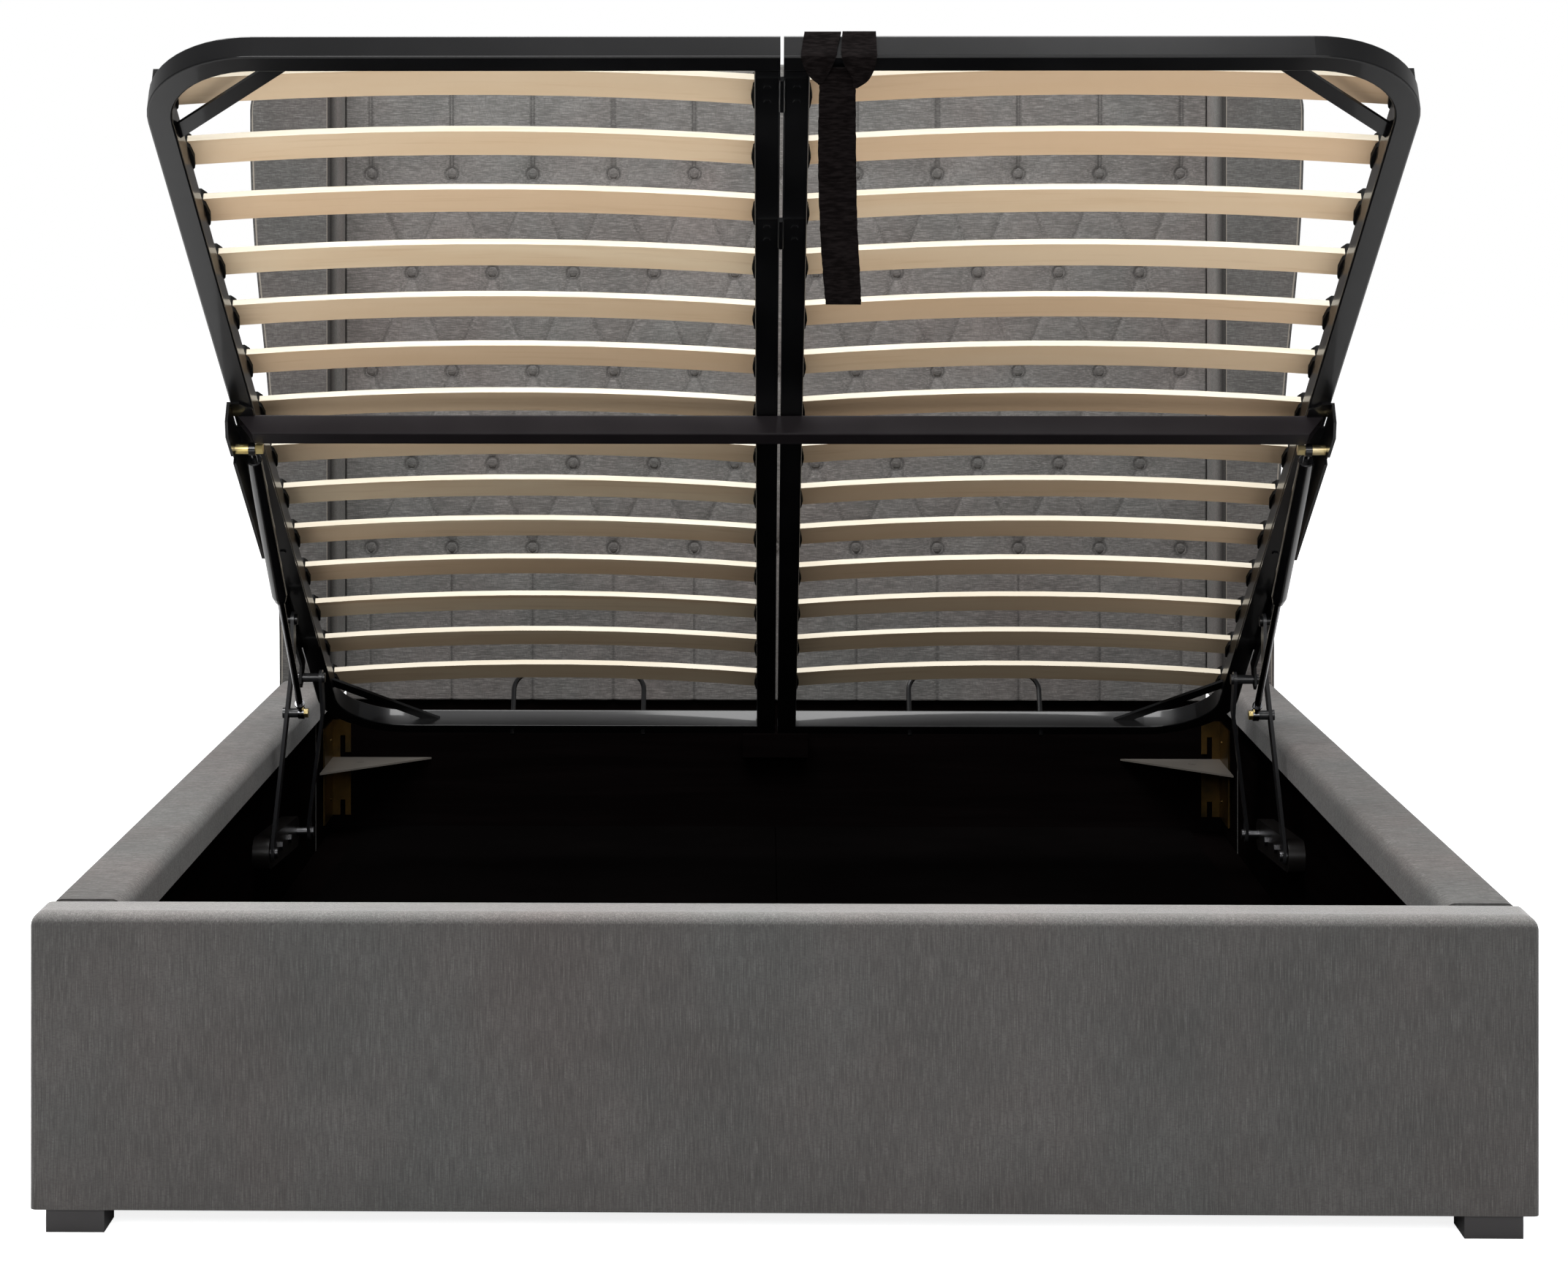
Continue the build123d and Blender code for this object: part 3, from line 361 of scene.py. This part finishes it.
def fabric(name, thread, tone, sheen, painted_top_light=0.0, painted_fold_shade=False, wing=None):
    """Slubbed upholstery cloth.

    thread is the stretch of the slubs along each axis, and tone is the cloth's lightness.
    painted_top_light is how much paler the cloth is painted where it faces up, a painted light from
    above. painted_fold_shade paints shade into the folds and round the buttons, from the shade layer.
    wing is the distance of the wing's inner face from the middle and the place of its front, and brings
    the wing's painted highlight and shade.
    """
    shader = Shader(name)
    tones = {"dark": FABRIC_DARK, "light": FABRIC_LIGHT, "slub": FABRIC_SLUB}
    tones = {key: tuple(value * tone for value in colour) for key, colour in tones.items()}
    fine = tuple(value * FINE_STRETCH for value in thread)
    streaks = tuple(value * STREAK_STRETCH for value in thread)
    weft = tuple(max(thread) if value == min(thread) else value * WEFT_STRETCH for value in thread)
    threads = {
        "streaks": shader.noise(detail=3.0, rough=0.6, stretch=streaks),
        "slubs": shader.noise(detail=3.0, rough=0.62, stretch=thread),
        "fine": shader.noise(detail=2.0, rough=0.6, stretch=fine),
        "weft": shader.noise(detail=2.0, rough=0.55, stretch=weft),
    }
    clouds = shader.noise(scale=CLOUD_SCALE, detail=6.0, rough=0.66)
    base = shader.mix(shader.fade(clouds, *CLOUD_RAMP), tones["dark"], tones["light"])
    for layer, low, high, first, last, toned in FABRIC_LAYERS:
        cover = shader.fade(threads[layer], low, high, first, last)
        base = shader.mix(cover, base, tones[toned])
    warmth = shader.noise(scale=WARMTH_SCALE, detail=4.0, rough=0.6, stretch=WARMTH_STRETCH)
    base = shader.multiply(base, shader.ramp(warmth, *WARMTH_RAMP, FABRIC_COOL, FABRIC_WARM))
    # Painted light from above: the cloth is painted paler where it faces up.
    if painted_top_light:
        up = shader.fade(shader.axis("Normal", 2), *PAINTED_TOP_LIGHT_RAMP, 1.0, 1 + painted_top_light)
        base = shader.multiply(base, up)
    if wing:
        base = wing_faces(shader, base, *wing)
    # Painted shade in the folds, the pleats and the ring round each button, from the shade layer.
    if painted_fold_shade:
        layer = add_node(shader.tree, "VertexColor")
        layer.layer_name = SHADE_LAYER
        base = shader.mix(layer.outputs["Color"], base, FABRIC_SHADE)
    shader.set(Base_Color=base, Roughness=CLOTH_ROUGHNESS, Sheen_Weight=sheen,
               Sheen_Roughness=SHEEN_ROUGHNESS, Specular_IOR_Level=sheen / 2)
    relief = shader.math("MULTIPLY_ADD", threads["weft"], WEFT_RELIEF, threads["slubs"])
    shader.bump(relief, CLOTH_BUMP, CLOTH_RELIEF)
    return shader.material


def slat_tone(shader):
    """A number from 0 to 1 for each slat, from its place along the lid and its half of the bed."""
    low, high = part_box("slats_left")
    run = math.hypot(high[1] - low[1], high[2] - low[2])
    rise = shader.math("MULTIPLY", shader.axis("Object", 2), (high[2] - low[2]) / run)
    along = shader.math("MULTIPLY_ADD", shader.axis("Object", 1), (low[1] - high[1]) / run, rise)
    pitch = (run - SLAT_BREADTH) / (SLAT_COUNT - 1)
    number = shader.math("FLOOR", shader.math("MULTIPLY_ADD", along, 1 / pitch, SLAT_PHASE))
    half = shader.math("SIGN", shader.axis("Object", 0))
    pick = add_node(shader.tree, "TexWhiteNoise")
    pick.noise_dimensions = "1D"
    shader.link(shader.math("MULTIPLY_ADD", half, SLAT_HALF_STEP, number), pick.inputs["W"])
    return pick.outputs["Value"]


def wood():
    """Lacquered birch, with a tone of its own for each slat and a paler sawn edge."""
    shader = Shader("birch_slat")
    grain = shader.noise(detail=5.0, rough=0.6, stretch=GRAIN_STRETCH)
    figure = shader.noise(detail=3.0, rough=0.6, stretch=FIGURE_STRETCH)
    face = shader.ramp(slat_tone(shader), 0.0, 1.0, BIRCH_ROSY, BIRCH_PALE)
    face = shader.mix(shader.fade(figure, *FIGURE_RAMP, last=FIGURE_COVER), face, BIRCH_WARM)
    face = shader.mix(shader.fade(grain, *GRAIN_RAMP, last=GRAIN_COVER), face, BIRCH_GRAIN)
    edge = shader.mix(shader.fade(grain, *EDGE_GRAIN_RAMP), BIRCH_EDGE, BIRCH_EDGE_GRAIN)
    side = shader.math("ABSOLUTE", shader.axis("Normal", 1))
    birch_tone = shader.mix(shader.fade(side, *EDGE_RAMP), face, edge)
    shader.set(Base_Color=birch_tone, Roughness=0.5, Specular_IOR_Level=0.25)
    shader.bump(grain, strength=0.12, distance=0.0006)
    return shader.material


def paint(name, colour, roughness, grain=0.0, **sockets):
    """Plain painted, plated or moulded surface with a faint unevenness."""
    shader = Shader(name)
    lighter = tuple(min(1.0, value * PAINT_LIFT + PAINT_FLOOR) for value in colour)
    clouds = shader.fade(shader.noise(scale=PAINT_CLOUDS), *PAINT_RAMP)
    shader.set(Base_Color=shader.mix(clouds, colour, lighter), Roughness=roughness, **sockets)
    if grain:
        shader.bump(shader.noise(scale=GRIT_SCALE, detail=2.0), grain, GRIT_DEPTH)
    return shader.material


def zinc(name, plain, stained):
    """Yellow passivated zinc plate."""
    shader = Shader(name)
    stains = shader.fade(shader.noise(scale=ZINC_CLOUDS), *ZINC_RAMP)
    shader.set(Base_Color=shader.mix(stains, plain, stained), Roughness=ZINC_ROUGHNESS, Metallic=1.0)
    return shader.material


def webbing():
    """Woven black strap with fine ribs across it."""
    shader = Shader("webbing")
    ribs = shader.noise(detail=2.0, stretch=RIB_STRETCH)
    weave = shader.mix(shader.fade(ribs, *RIB_RAMP), WEBBING_DARK, WEBBING_LIGHT)
    shader.set(Base_Color=weave, Roughness=0.95, Specular_IOR_Level=0.03)
    shader.bump(ribs, strength=0.6, distance=0.0008)
    return shader.material


def board(name, colour):
    """Dark covered board of the storage base."""
    shader = Shader(name)
    grain = shader.noise(rough=0.6, stretch=BOARD_STRETCH)
    lighter = tuple(value * BOARD_LIFT for value in colour)
    covered = shader.mix(shader.fade(grain, *BOARD_RAMP), colour, lighter)
    shader.set(Base_Color=covered, Roughness=0.9, Specular_IOR_Level=0.0)
    return shader.material


wing_edge = -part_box("wing_cover_left")[1][0]
wing_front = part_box("wing_cover_left")[0][1]
# One cloth throughout. The tones of these copies are set apart as painted light and shade: the pad
# paler and the footboard darker than the rest.
upright_fabric = fabric("fabric_upright", (620, 620, 18), tone=0.62, sheen=0.5, painted_top_light=2.4)
level_fabric = fabric("fabric_level", (34, 430, 430), tone=0.78, sheen=0.0,
                      wing=(wing_edge, wing_front))
rail_fabric = fabric("fabric_rail", (34, 300, 300), tone=0.84, sheen=0.12, painted_top_light=0.5)
pad_fabric = fabric("fabric_pad", (30, 380, 380), tone=1.12, sheen=0.1, painted_fold_shade=True)
button_fabric = fabric("fabric_button", (60, 500, 500), tone=0.84, sheen=0.05)
birch = wood()
black_steel = paint("black_steel", BLACK_PAINT, 0.28, Specular_IOR_Level=0.15, Coat_Weight=0.3,
                    Coat_Roughness=0.05)
bar_paint = paint("bar_black", BAR_BLACK, 0.45, Specular_IOR_Level=0.08)
cylinder_paint = paint("cylinder_black", BLACK_PAINT, 0.16)
rod_steel = paint("rod_steel", GREY_METAL, 0.18, Metallic=1.0)
cap_plastic = paint("cap_plastic", CAP_BLACK, 0.55, grain=0.2, Specular_IOR_Level=0.08)
foot_plastic = paint("foot_plastic", FOOT_BLACK, 0.6, grain=0.15)
grey_plate = paint("grey_plate", PLATE_GREY, 0.45)
yellow_zinc = zinc("yellow_zinc", ZINC_YELLOW, ZINC_WORN)
dull_zinc = zinc("dull_zinc", ZINC_BROWN, ZINC_STAINED)
dark_plating = paint("dark_plating", GREY_METAL, 0.3, Metallic=1.0)
link_steel = paint("link_steel", LINK_GREY, 0.3)
bracket_steel = paint("bracket_steel", BRACKET_BLACK, 0.30, grain=0.2)
strap_weave = webbing()
dark_board = board("dark_board", BOARD_DARK)
base_board = board("base_board", BOARD_FLOOR)

# Material of each node, by its name without _left or _right. The rest are black steel.
LOOKS = {
    "footboard_cover": upright_fabric,
    "side_rail_cover": rail_fabric,
    "wing_cover": level_fabric,
    "headboard_back_cover": level_fabric,
    "slats": birch,
    "crossbar": bar_paint,
    "strut_cylinder": cylinder_paint,
    "strut_rod": rod_steel,
    "outer_slat_caps": cap_plastic,
    "inner_slat_caps": cap_plastic,
    "corner_feet": foot_plastic,
    "centre_feet": foot_plastic,
    "corner_plates": grey_plate,
    "hook_bracket": dull_zinc,
    "bracket_bolts": dark_plating,
    "base_pivot_pins": dark_plating,
    "strut_top_bolts": yellow_zinc,
    "strut_foot_nuts": yellow_zinc,
    "base_bracket": bracket_steel,
    "front_link": link_steel,
    "rear_link": link_steel,
    "strap_loop": strap_weave,
    "strap_tail": strap_weave,
    "floor_panel": base_board,
    "footboard_frame": dark_board,
    "side_rail_frame": dark_board,
    "wing_frame": dark_board,
    "head_rail": dark_board,
    "headboard_frame": dark_board,
    "support_blocks": dark_board,
    "floor_ledges": dark_board,
    "centre_floor_beam": dark_board,
}


def dress(node):
    """Puts the node's material on all its slots."""
    name = node.removesuffix("_left").removesuffix("_right")
    material = LOOKS.get(name, black_steel)
    mesh = nodes[node].data
    if not mesh.materials:
        mesh.materials.append(material)
    for index in range(len(mesh.materials)):
        mesh.materials[index] = material


for node in nodes:
    dress(node)


def mesh_object(name, points, faces, material, body):
    """A smooth mesh that rides a body. A blended piece is given no body."""
    mesh = bpy.data.meshes.new(name)
    mesh.from_pydata(points, [], faces)
    mesh.validate()
    mesh.update()
    mesh.polygons.foreach_set("use_smooth", [True] * len(mesh.polygons))
    mesh.materials.append(material)
    piece = bpy.data.objects.new(name, mesh)
    bpy.context.scene.collection.objects.link(piece)
    if body:
        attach(piece, body)
    return piece


# Headboard pad
def button_places():
    """Row number, x and z of every button, each second row set half a pitch aside."""
    half = (BUTTON_COLUMNS - 1) / 2
    return [(row, (column - half + 0.5 * (row % 2)) * BUTTON_PITCH, level)
            for row, level in enumerate(BUTTON_ROWS)
            for column in range(BUTTON_COLUMNS - row % 2)]


def fold_lines():
    """Ends of every fold between buttons, as (x, z, x, z), with the upright pleats above and below."""
    reach = (BUTTON_COLUMNS - 1) / 2 * BUTTON_PITCH + FOLD_SLACK
    last = len(BUTTON_ROWS) - 1
    lines = []
    for row, x, level in button_places():
        for side in (-0.5, 0.5):
            end = x + side * BUTTON_PITCH
            if row < last and abs(end) <= reach:
                lines.append((x, level, end, BUTTON_ROWS[row + 1]))
        if row == 0:
            lines.append((x, level, x, pad_high[2] + PLEAT_PAST))
        if row == last:
            lines.append((x, level, x, pad_low[2] - PLEAT_PAST))
    return lines


def fold_and_button_distance(x, z):
    """Distance of each point from the nearest fold and from the nearest button's middle."""
    fold = np.full(x.shape, FAR_OFF)
    for x0, z0, x1, z1 in fold_lines():
        length = math.hypot(x1 - x0, z1 - z0)
        ux, uz = (x1 - x0) / length, (z1 - z0) / length
        run = np.clip((x - x0) * ux + (z - z0) * uz, 0.0, length)
        fold = np.minimum(fold, np.hypot(x - x0 - run * ux, z - z0 - run * uz))
    button = np.full(x.shape, FAR_OFF)
    for _, bx, bz in button_places():
        button = np.minimum(button, np.hypot(x - bx, z - bz))
    return fold, button


def rumple(x, z):
    """Slow unevenness of the stuffing, as two bent waves multiplied."""
    across = np.sin(x * 61 + 3 * np.sin(z * 23))
    up = np.sin(z * 47 + 2 * np.sin(x * 31))
    return PAD_RUMPLE * across * up


def pad_height(x, z, fold, button):
    """How far the pad stands forward of its sunk plane at each point."""
    height = PAD_PUFF - CREASE_DEPTH * np.exp(-fold / CREASE_WIDTH)
    height -= DIMPLE_DEPTH * np.exp(-button / DIMPLE_WIDTH)
    height += rumple(x, z)
    edge = np.minimum.reduce([x - pad_low[0], pad_high[0] - x, z - pad_low[2], pad_high[2] - z])
    turn = np.clip(edge / PAD_EDGE, 0.0, 1.0)
    return height * np.sqrt(1.0 - (1.0 - turn) ** 2)


def pad_shade(fold, button, z):
    """Share of painted shade in the folds and in the tight ring round each button."""
    above = z > BUTTON_ROWS[0]
    strength = np.where(above | (z < BUTTON_ROWS[-1]), PLEAT_SHADE, FOLD_SHADE)
    line = np.where(above, np.abs(fold - PLEAT_HALF), fold)
    shade = strength * np.exp(-(line / FOLD_SHADE_WIDTH) ** 2)
    rim = RIM_SHADE * np.exp(-((button - BUTTON_RADIUS) / RIM_SHADE_WIDTH) ** 2)
    return np.clip(np.maximum(shade, rim), 0.0, 1.0)


def headboard_pad():
    """Buttoned front with a straight rim back to the board, closed by one face behind."""
    across = int(round((pad_high[0] - pad_low[0]) / PAD_GRID)) + 1
    up = int(round((pad_high[2] - pad_low[2]) / PAD_GRID)) + 1
    xs = np.linspace(pad_low[0], pad_high[0], across)
    zs = np.linspace(pad_low[2], pad_high[2], up)
    x, z = np.meshgrid(xs, zs)
    fold, button = fold_and_button_distance(x, z)
    y = pad_low[1] + PAD_SINK - pad_height(x, z, fold, button)
    front = np.stack([x, y, z], axis=-1).reshape(-1, 3)
    back = np.stack([x, np.full(x.shape, pad_high[1]), z], axis=-1).reshape(-1, 3)
    index = np.arange(across * up).reshape(up, across)
    corners = [index[:-1, :-1], index[:-1, 1:], index[1:, 1:], index[1:, :-1]]
    faces = np.stack(corners, axis=-1).reshape(-1, 4).tolist()
    rim = np.concatenate([index[0, :-1], index[:-1, -1], index[-1, :0:-1], index[:0:-1, 0]])
    points = np.concatenate([front, back[rim]])
    count = len(front)
    total = len(rim)
    for i in range(total):
        after = (i + 1) % total
        faces.append([int(rim[after]), int(rim[i]), count + i, count + after])
    faces.append([count + i for i in range(total)])
    piece = mesh_object("buttoned_pad", points.tolist(), faces, pad_fabric, "base")
    # The painted shade of the folds and button rims, kept as a colour layer on the pad.
    shade = np.concatenate([pad_shade(fold, button, z).reshape(-1), np.zeros(total)])
    colours = np.stack([shade, shade, shade, np.ones_like(shade)], axis=-1)
    layer = piece.data.color_attributes.new(SHADE_LAYER, "FLOAT_COLOR", "POINT")
    layer.data.foreach_set("color", colours.reshape(-1))
    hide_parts("headboard_pad")


def button_dome(x, z, start):
    """Points and faces of one domed button, numbered from start."""
    seat = pad_low[1] + PAD_SINK - (PAD_PUFF - CREASE_DEPTH - DIMPLE_DEPTH * BUTTON_SEAT)
    points = []
    for ring in range(BUTTON_RINGS - 1):
        angle = ring / (BUTTON_RINGS - 1) * math.pi / 2
        radius = BUTTON_RADIUS * math.cos(angle) ** BUTTON_DOME
        y = seat + BUTTON_SKIRT - BUTTON_HEIGHT * math.sin(angle)
        for segment in range(BUTTON_SEGMENTS):
            turn = 2 * math.pi * segment / BUTTON_SEGMENTS
            points.append((x + radius * math.cos(turn), y, z + radius * math.sin(turn)))
    points.append((x, seat + BUTTON_SKIRT - BUTTON_HEIGHT, z))
    tip = start + len(points) - 1
    last = tip - BUTTON_SEGMENTS
    faces = []
    for first in range(start, last, BUTTON_SEGMENTS):
        upper = first + BUTTON_SEGMENTS
        for segment in range(BUTTON_SEGMENTS):
            after = (segment + 1) % BUTTON_SEGMENTS
            faces.append((first + segment, first + after, upper + after, upper + segment))
    for segment in range(BUTTON_SEGMENTS):
        faces.append((last + segment, last + (segment + 1) % BUTTON_SEGMENTS, tip))
    return points, faces


def headboard_buttons():
    """Domed covered buttons, each sitting in its dimple."""
    points, faces = [], []
    for _, x, z in button_places():
        more_points, more_faces = button_dome(x, z, len(points))
        points += more_points
        faces += more_faces
    piece = mesh_object("covered_buttons", points, faces, button_fabric, "base")
    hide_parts("headboard_buttons")


# Pull strap
def smooth_rows(rows, steps):
    """Rows of numbers with Catmull-Rom points between them."""
    rows = np.array(rows, float)
    padded = np.vstack([2 * rows[0] - rows[1], rows, 2 * rows[-1] - rows[-2]])
    out = []
    for i in range(len(rows) - 1):
        a, b, c, d = padded[i:i + 4]
        for t in np.arange(steps) / steps:
            square = (2 * a - 5 * b + 4 * c - d) * t ** 2
            cube = (3 * b - a - 3 * c + d) * t ** 3
            out.append(0.5 * (2 * b + (c - a) * t + square + cube))
    out.append(rows[-1])
    return np.array(out)


def strap_band(rows, outward, crown, fray=0.0):
    """A closed strip of webbing along rows of (y, z, left, right), its thickness laid inside.

    outward is the side of the path that shows. crown is how far the middle of each row stands out, and
    the last value serves all later rows. fray is how ragged the edges are.
    """
    rows = smooth_rows(rows, STRAP_STEPS) / 1000
    path = rows[:, :2]
    heading = np.gradient(path, axis=0)
    heading /= np.linalg.norm(heading, axis=1)[:, None]
    normal = outward * np.stack([heading[:, 1], -heading[:, 0]], axis=1)
    slow, quick = STRAP_FRAY_TURNS
    points = []
    for i, (y, z, left, right) in enumerate(rows):
        nick = fray * math.sin(i * slow) * math.sin(i * quick)
        height = crown[min(i, len(crown) - 1)]
        for sunk in (0.0, STRAP_THICKNESS):
            for share in np.linspace(0, 1, STRAP_COLUMNS):
                out = height * math.sin(math.pi * share) - sunk
                x = left + nick * (1 - share) + (right - left + nick * share) * share
                points.append((x, y + normal[i][0] * out, z + normal[i][1] * out))
    wide = STRAP_COLUMNS
    ring = list(range(wide)) + list(range(2 * wide - 1, wide - 1, -1))
    pairs = list(zip(ring, ring[1:] + ring[:1]))
    last = 2 * wide * (len(rows) - 1)
    faces = []
    for low in range(0, last, 2 * wide):
        high = low + 2 * wide
        faces += [(low + a, low + b, high + b, high + a) for a, b in pairs]
    for k in range(wide - 1):
        faces.append((k + 1, k, wide + k, wide + k + 1))
        faces.append((last + k, last + k + 1, last + wide + k + 1, last + wide + k))
    return points, faces


def join(bands):
    """Points and faces of several bands as one mesh."""
    points, faces = [], []
    for more_points, more_faces in bands:
        start = len(points)
        points += more_points
        faces += [tuple(start + i for i in face) for face in more_faces]
    return points, faces


def pull_strap():
    """Two wraps round the foot bar and the strap that hangs from them."""
    rise = STRAP_CROWN_ROWS * STRAP_STEPS
    pouch = [STRAP_CROWN * math.sin(math.pi * min(1, i / rise)) for i in range(rise + 1)]
    points, faces = join([strap_band(LEFT_WRAP, -1, pouch), strap_band(RIGHT_WRAP, -1, pouch)])
    wraps = mesh_object("strap_wraps", points, faces, strap_weave, None)
    wraps.data.set_sharp_from_angle(angle=STRAP_SHARP)
    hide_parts("strap_loop")
    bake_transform(wraps)
    points, faces = join([strap_band(STRAP_TAIL, 1, [0.0], STRAP_FRAY),
                          strap_band(STRAP_OVERLAP, 1, [0.0]),
                          strap_band(STRAP_SEAM, 1, [0.0])])
    tail = mesh_object("strap_hanging", points, faces, strap_weave, "pull_strap")
    tail.data.set_sharp_from_angle(angle=STRAP_SHARP)
    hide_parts("strap_tail")


pad_low, pad_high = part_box("headboard_pad")
headboard_pad()
headboard_buttons()
pull_strap()


# Stage, lights and camera
def white_floor():
    """A pale floor that the camera sees as white and that still takes the bed's shadow."""
    mesh = bpy.data.meshes.new("floor")
    corners = [(-FLOOR_REACH, -FLOOR_REACH, 0), (FLOOR_REACH, -FLOOR_REACH, 0),
               (FLOOR_REACH, FLOOR_REACH, 0), (-FLOOR_REACH, FLOOR_REACH, 0)]
    mesh.from_pydata(corners, [], [(0, 1, 2, 3)])
    floor = bpy.data.objects.new("floor", mesh)
    bpy.context.scene.collection.objects.link(floor)
    material = bpy.data.materials.new("floor_white")
    material.use_nodes = True
    tree = material.node_tree
    tree.nodes.clear()
    output = add_node(tree, "OutputMaterial")
    diffuse = add_node(tree, "BsdfDiffuse")
    diffuse.inputs[0].default_value = (FLOOR_TONE, FLOOR_TONE, FLOOR_TONE, 1)
    glow = add_node(tree, "Emission")
    path = add_node(tree, "LightPath")
    lift = add_node(tree, "Math")
    lift.operation = "MULTIPLY"
    lift.inputs[1].default_value = FLOOR_LIFT
    both = add_node(tree, "AddShader")
    tree.links.new(path.outputs["Is Camera Ray"], lift.inputs[0])
    tree.links.new(lift.outputs[0], glow.inputs[1])
    tree.links.new(diffuse.outputs[0], both.inputs[0])
    tree.links.new(glow.outputs[0], both.inputs[1])
    tree.links.new(both.outputs[0], output.inputs[0])
    mesh.materials.append(material)


def pale_world():
    """A dim white world that the camera sees as white."""
    world = bpy.data.worlds.new("studio")
    bpy.context.scene.world = world
    world.use_nodes = True
    tree = world.node_tree
    tree.nodes.clear()
    output = add_node(tree, "OutputWorld")
    path = add_node(tree, "LightPath")
    mix = add_node(tree, "MixShader")
    tree.links.new(path.outputs["Is Camera Ray"], mix.inputs[0])
    for number, strength in ((1, WORLD_LIGHT), (2, WORLD_SEEN)):
        light = add_node(tree, "Background")
        light.inputs[0].default_value = (1, 1, 1, 1)
        light.inputs[1].default_value = strength
        tree.links.new(light.outputs[0], mix.inputs[number])
    tree.links.new(mix.outputs[0], output.inputs[0])


def soft_light(name, place, target, size, power):
    """A rectangular lamp at place, turned to target."""
    light = bpy.data.lights.new(name, "AREA")
    light.shape = "RECTANGLE"
    light.size, light.size_y = size
    light.energy = power
    lamp = bpy.data.objects.new(name, light)
    lamp.location = place
    x, y, z = np.array(target) - np.array(place)
    lamp.rotation_euler = (math.atan2(math.hypot(x, y), -z), 0, math.atan2(-x, y))
    bpy.context.scene.collection.objects.link(lamp)


def photograph_camera():
    """The camera at the photograph's place and with its framing."""
    data = bpy.data.cameras.new("camera")
    data.sensor_fit = "HORIZONTAL"
    data.sensor_width = SENSOR
    data.lens = SENSOR * FOCAL_PIXELS / IMAGE_WIDTH
    data.shift_x = (IMAGE_WIDTH / 2 - CENTRE_COLUMN) / IMAGE_WIDTH
    data.shift_y = -(IMAGE_HEIGHT / 2 - HORIZON_ROW) / IMAGE_WIDTH
    data.clip_end = CAMERA_REACH
    camera = bpy.data.objects.new("camera", data)
    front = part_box("footboard_cover")[0][1]
    camera.location = (CAMERA_ASIDE, front - CAMERA_BACK, CAMERA_HEIGHT)
    camera.rotation_euler = (math.pi / 2, 0, CAMERA_TURN)
    bpy.context.scene.collection.objects.link(camera)
    bpy.context.scene.camera = camera


white_floor()
pale_world()
for lamp in LAMPS:
    soft_light(*lamp)
photograph_camera()

bpy.context.scene.view_settings.view_transform = "Standard"
